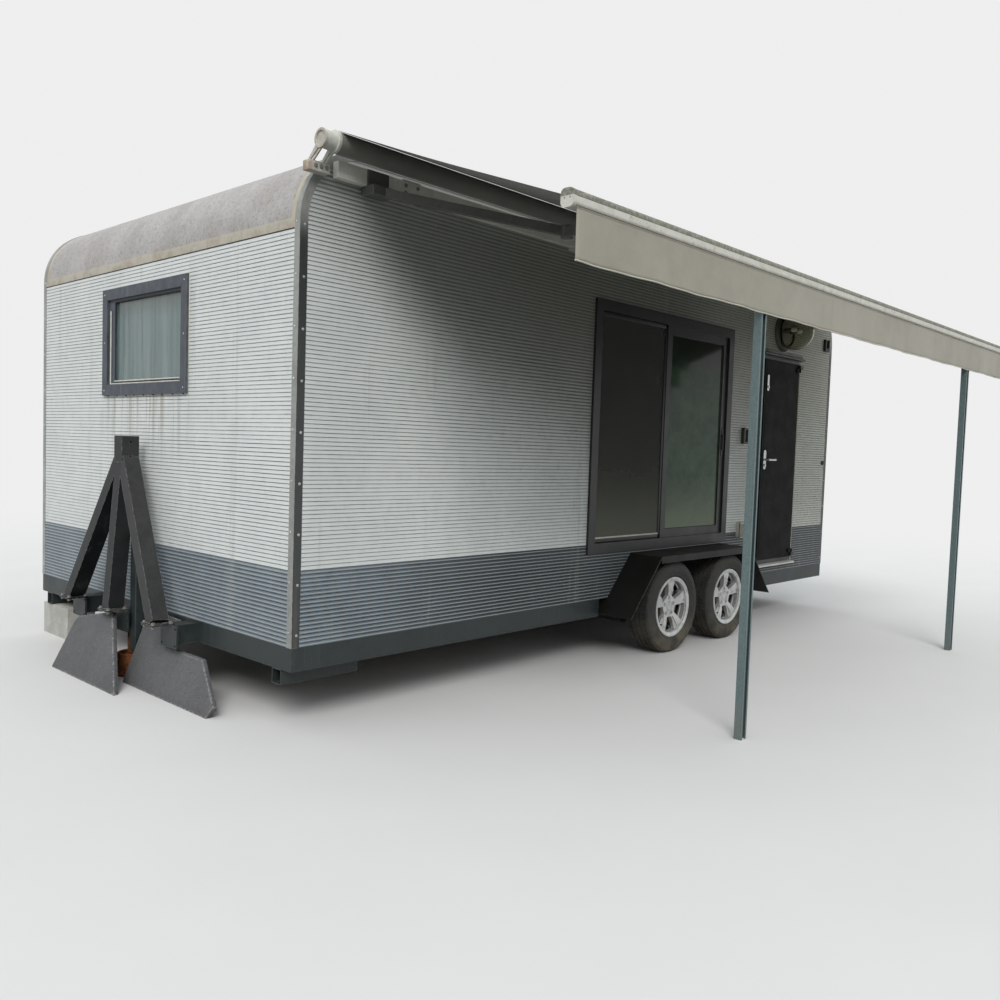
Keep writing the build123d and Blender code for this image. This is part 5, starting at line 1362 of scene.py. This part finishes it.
def make_awning_fittings():
    """Castings and hangers in place of the plain brackets, their bolts, and screws in the lead rail's caps."""
    back_low, back_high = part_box("awning_back_bar")
    rail_low, rail_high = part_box("awning_lead_rail")
    roller_low, roller_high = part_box("awning_roller")
    y, z = (roller_low.y + roller_high.y) / 2, (roller_low.z + roller_high.z) / 2
    ends = ((roller_high.x, 1), (roller_low.x, -1))
    bolts = [((end + outward * share * HOUSING_LENGTH, back_high.y, back_low.z + 0.024), (0, 1, 0))
             for end, outward in ends for share in (0.1, 0.45, 0.8)]
    bolts += [((FRONT_FACE - hanger + side, back_high.y, height), (0, 1, 0)) for hanger in HANGERS
              for side in (-0.04, 0.04) for height in (back_high.z - 0.02, back_low.z + 0.02)]
    fasteners("awning_bolts", bolts, AWNING_BOLT, WORN_BOLT)
    mid_y, mid_z = (rail_low.y + rail_high.y) / 2, (rail_low.z + rail_high.z) / 2
    screws = [((end, mid_y + shift, mid_z), (sign, 0, 0)) for end, sign in ((rail_high.x, 1), (rail_low.x, -1))
              for shift in (-0.012, 0.014)]
    fasteners("lead_rail_cap_screws", screws, CAP_SCREW, WORN_BOLT)
    bm = bmesh.new()
    wall, base_top = LEFT_FACE + 0.003, back_low.z + 0.046
    housing = [(0.0, POLE), (0.0, 0.052), (0.014, 0.053), (0.018, 0.047), (0.03, 0.043), (0.072, 0.041),
               (0.078, 0.045), (HOUSING_LENGTH, 0.044), (HOUSING_LENGTH, 0.034), (0.08, 0.032), (0.08, POLE)]
    legs = (((wall, base_top), (wall + 0.016, base_top), (y - 0.008, z - 0.03), (y - 0.034, z - 0.016)),
            ((back_high.y - 0.014, base_top), (back_high.y, base_top), (y + 0.018, z - 0.034),
             (y - 0.004, z - 0.036)))
    for end, outward in ends:
        put_lathe(bm, housing, lambda axial, across, up: Vector((end + outward * axial, y + across, z + up)),
                  48)
        reach = HOUSING_LENGTH + 0.018 if outward > 0 else HOUSING_LENGTH
        low, high = sorted((end - outward * 0.012, end + outward * reach))
        put_box(bm, (low, wall, back_low.z), (high, back_high.y, base_top), 0.004)
        for leg in legs:
            for step in (0.004, HOUSING_LENGTH - 0.012):
                put_prism(bm, leg, *sorted((end + outward * step, end + outward * (step + 0.008))), end_place)
    for hanger in HANGERS:
        rear, front = FRONT_FACE - hanger - HANGER_WIDTH / 2, FRONT_FACE - hanger + HANGER_WIDTH / 2
        put_box(bm, (rear, LEFT_FACE, back_low.z - HANGER_LAP), (front, back_low.y, back_high.z + HANGER_LAP),
                0.001)
        for low in (back_low.z - 0.008, back_high.z):
            put_box(bm, (rear, back_low.y, low), (front, back_high.y, low + 0.008), 0.001)
    castings = smooth(piece("awning_castings", mesh_from(bm), AWNING_PAINT))
    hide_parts("awning_brackets")
    grooves = [line(*((x, rail_high.y - 0.0009, height) for x in (rail_low.x + 0.02, rail_high.x - 0.02)))
               for height in (rail_low.z + 0.006, rail_high.z - 0.028)]
    piece("lead_rail_grooves", beads(grooves, 0.0016, 1), DARK_PLASTIC)


# Front end
def make_front_end():
    """Bolts and nuts of the drawbar's flanges, and the jack's thread."""
    bolts = [((FOOT_X + x, DRAWBAR_MIDDLE + foot + y, FOOT_TOP), (0, 0, 1)) for foot in DRAWBAR_FEET
             for x in (-FLANGE_BOLT, FLANGE_BOLT) for y in (-FLANGE_BOLT, FLANGE_BOLT)]
    fasteners("drawbar_flange_bolts", bolts, HEX_BOLT, WORN_BOLT)
    # Nuts show where a flange reaches past its stub
    nuts = [((x, y, stub_high.z), (0, 0, -1)) for (x, y, z), direction in bolts if x > stub_high.x]
    fasteners("drawbar_bolt_nuts", nuts, HEX_BOLT, WORN_BOLT)
    jack_low, jack_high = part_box("front_jack")
    x, y = (jack_low.x + jack_high.x) / 2, (jack_low.y + jack_high.y) / 2
    screw_low, screw_high, radius, lead = jack_low.z + 0.124, jack_high.z - 0.024, 0.0262, 0.007
    thread = []
    for step in range(int((screw_high - screw_low) / lead * 20)):
        angle = 2 * pi * step / 20
        thread.append((x + radius * cos(angle), y + radius * sin(angle), screw_low + lead * step / 20))
    smooth(piece("jack_thread", beads([line(*thread)], 0.002, 1), RUST))


# Reach before the front wall at the ground and at the top, then corners seen from the front
BOARD_SHAPES = {
    "far": (BOARD_REACH, 0.186, ((-0.45, -0.04), (0.432, -0.04), (0.007, 0.378), (-0.362, 0.302),
                                 (-0.392, 0.274))),
    "near": (0.19, 0.03, ((0.149, -0.04), (1.03, -0.04), (1.088, 0.059), (0.658, 0.381), (0.358, 0.392),
                          (0.138, 0.347))),
}


def make_boards():
    """Two leaning rubber boards with eased edges, the near one notched for its stub."""
    middle = (stub_low.y + stub_high.y) / 2
    room = ((FRONT_FACE, middle - 2, 0.0), (FRONT_FACE + BOARD_REACH, middle + 2, 1.0))
    notch = ((FRONT_FACE, stub_high.y - 0.19, stub_low.z - 0.025),
             (stub_high.x + 0.006, stub_high.y + 0.3, stub_high.z + 0.02))
    for name, (low_reach, high_reach, corners) in BOARD_SHAPES.items():
        lean = Vector((high_reach - low_reach, 0, max(up for side, up in corners))).normalized()
        out = Vector((0, 1, 0)).cross(lean)
        start = Vector((FRONT_FACE + low_reach, middle, 0))

        def place(u, v, depth):
            return start + Vector((0, u, 0)) + lean * v - out * depth

        outline = [(side, up / lean.z) for side, up in corners]
        board = loose_object(prism_mesh(outline, 0.0, BOARD_SHEET, place))
        tools = [("INTERSECT", loose_object(box_mesh(room)))]
        if name == "near":
            tools.append(("DIFFERENCE", loose_object(box_mesh(notch))))
        smooth(piece(f"skirt_board_{name}", carved(board, tools, 0.004), BOARD))
    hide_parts("skirt_boards")
    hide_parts("skirt_boards")


def make_rail_ends():
    """Plates over the open ends of the side rails."""
    plates = []
    for side, face in ((1, LEFT_FACE), (-1, RIGHT_FACE)):
        low, high = sorted((face - side * 0.0005, face - side * 0.0075))
        for end, inward in ((FRONT_FACE, -1), (REAR_FACE, 1)):
            x = sorted((end + inward * 0.0005, end + inward * 0.075))
            plates.append(((x[0], low, SIDING_BASE - RAIL_HEIGHT + 0.0005), (x[1], high, SIDING_BASE - 0.0005)))
    piece("rail_end_plates", box_mesh(*plates), CHASSIS)


def make_welds():
    """Rippled welds where the drawbar's legs meet their flanges."""
    bm = bmesh.new()
    for foot in DRAWBAR_FEET:
        half_y = LEG_HALF_WIDTH * sqrt(1 + (-LEG_LEAN * foot) ** 2)
        corners = rectangle(FOOT_X - LEG_HALF_DEPTH, FOOT_X + LEG_HALF_DEPTH, DRAWBAR_MIDDLE + foot - half_y,
                            DRAWBAR_MIDDLE + foot + half_y)
        for number in range(4):
            a, b = Vector(corners[number]), Vector(corners[(number + 1) % 4])
            count = int((b - a).length / WELD_STEP)
            for step in range(count):
                spot = a + (b - a) * step / count
                made = bmesh.ops.create_icosphere(bm, subdivisions=1, radius=WELD_RADIUS)["verts"]
                bmesh.ops.translate(bm, vec=(spot.x, spot.y, FOOT_TOP + 0.001), verts=made)
    smooth(piece("drawbar_welds", mesh_from(bm), DRAWBAR_PAINT), 60)


# Camera, floor and light
def make_camera():
    """Camera of the photograph, with its roll."""
    ahead = Vector((cos(CAMERA_HEADING) * cos(CAMERA_PITCH), sin(CAMERA_HEADING) * cos(CAMERA_PITCH),
                    -sin(CAMERA_PITCH)))
    level = ahead.cross(Vector((0, 0, 1))).normalized()
    upward = level.cross(ahead)
    right = cos(CAMERA_ROLL) * level + sin(CAMERA_ROLL) * upward
    top = cos(CAMERA_ROLL) * upward - sin(CAMERA_ROLL) * level
    data = bpy.data.cameras.new("camera")
    data.sensor_width = SENSOR
    data.lens = SENSOR * CAMERA_FOCAL
    camera = bpy.data.objects.new("camera", data)
    camera.matrix_world = Matrix.Translation(CAMERA_PLACE) @ Matrix((right, top, -ahead)).transposed().to_4x4()
    scene.collection.objects.link(camera)
    scene.camera = camera


def seen_rays(tree):
    """Rays from the camera, straight, by way of a mirror or through glass."""
    camera = add(tree, "ShaderNodeLightPath", out="Is Camera Ray")
    return calc("MAXIMUM", camera, calc("MAXIMUM", camera.beside("Is Glossy Ray"),
                                        camera.beside("Is Transmission Ray")))


def make_floor():
    """Pale floor that fades into the background."""
    bm = bmesh.new()
    bmesh.ops.create_grid(bm, x_segments=2, y_segments=2, size=FLOOR_REACH)
    mesh = bpy.data.meshes.new("floor")
    bm.to_mesh(mesh)
    bm.free()
    floor = bpy.data.objects.new("floor", mesh)
    scene.collection.objects.link(floor)
    material = bpy.data.materials.new("studio_floor")
    material.use_nodes = True
    tree = material.node_tree
    shader = tree.nodes["Principled BSDF"]
    shader.inputs["Roughness"].default_value = 0.9
    coords = add(tree, "ShaderNodeTexCoord", out="Object")
    far = add(tree, "ShaderNodeVectorMath", {0: coords}, "Value", operation="LENGTH")
    seen = seen_rays(tree)
    tint = blend(noise(coords, 1.5, 3.0), (0.62, 0.62, 0.61, 1), (0.66, 0.66, 0.65, 1))
    # The floor throws back less light than it shows
    tree.links.new(blend(seen, (0.2, 0.2, 0.19, 1), tint).socket, shader.inputs["Base Color"])
    glow = add(tree, "ShaderNodeEmission", {"Color": BACKDROP, "Strength": 1.0})
    share = spread(far, 5.0, 14.0) * seen
    mixed = add(tree, "ShaderNodeMixShader", {0: share, 1: Value(shader.outputs[0]), 2: glow})
    tree.links.new(mixed.socket, tree.nodes["Material Output"].inputs["Surface"])
    mesh.materials.append(material)


def make_light():
    """Soft sky light behind a plain background, and one soft sun."""
    world = bpy.data.worlds.new("studio")
    scene.world = world
    world.use_nodes = True
    tree = world.node_tree
    background = tree.nodes["Background"]
    height = parts(add(tree, "ShaderNodeTexCoord", out="Generated"))[2]
    sky = blend(spread(height, -0.1, 0.55), (0.3, 0.31, 0.3, 1), (0.93, 0.97, 1.0, 1))
    tree.links.new(sky.socket, background.inputs["Color"])
    background.inputs["Strength"].default_value = 1.0
    plain = add(tree, "ShaderNodeBackground", {"Color": BACKDROP, "Strength": 1.0})
    mixed = add(tree, "ShaderNodeMixShader", {0: seen_rays(tree), 1: Value(background.outputs[0]), 2: plain})
    tree.links.new(mixed.socket, tree.nodes["World Output"].inputs["Surface"])
    sun = bpy.data.lights.new("sun", "SUN")
    sun.energy = SUN_STRENGTH
    sun.angle = radians(SUN_SPREAD)
    sun.color = (1.0, 0.98, 0.95)
    lamp = bpy.data.objects.new("sun", sun)
    lamp.rotation_euler = Vector((-1.0, -0.9, -1.1)).to_track_quat("-Z", "Y").to_euler()
    scene.collection.objects.link(lamp)


make_camera()
make_floor()
make_light()
make_siding()
make_seals()
make_trim_screws()
make_front_window()
make_patio_window()
make_curtain()
make_door()
make_lamp()
make_wheels()
make_canvas()
make_valance()
make_awning_fittings()
make_front_end()
make_boards()
make_rail_ends()
make_welds()

scene.view_settings.view_transform = "Standard"
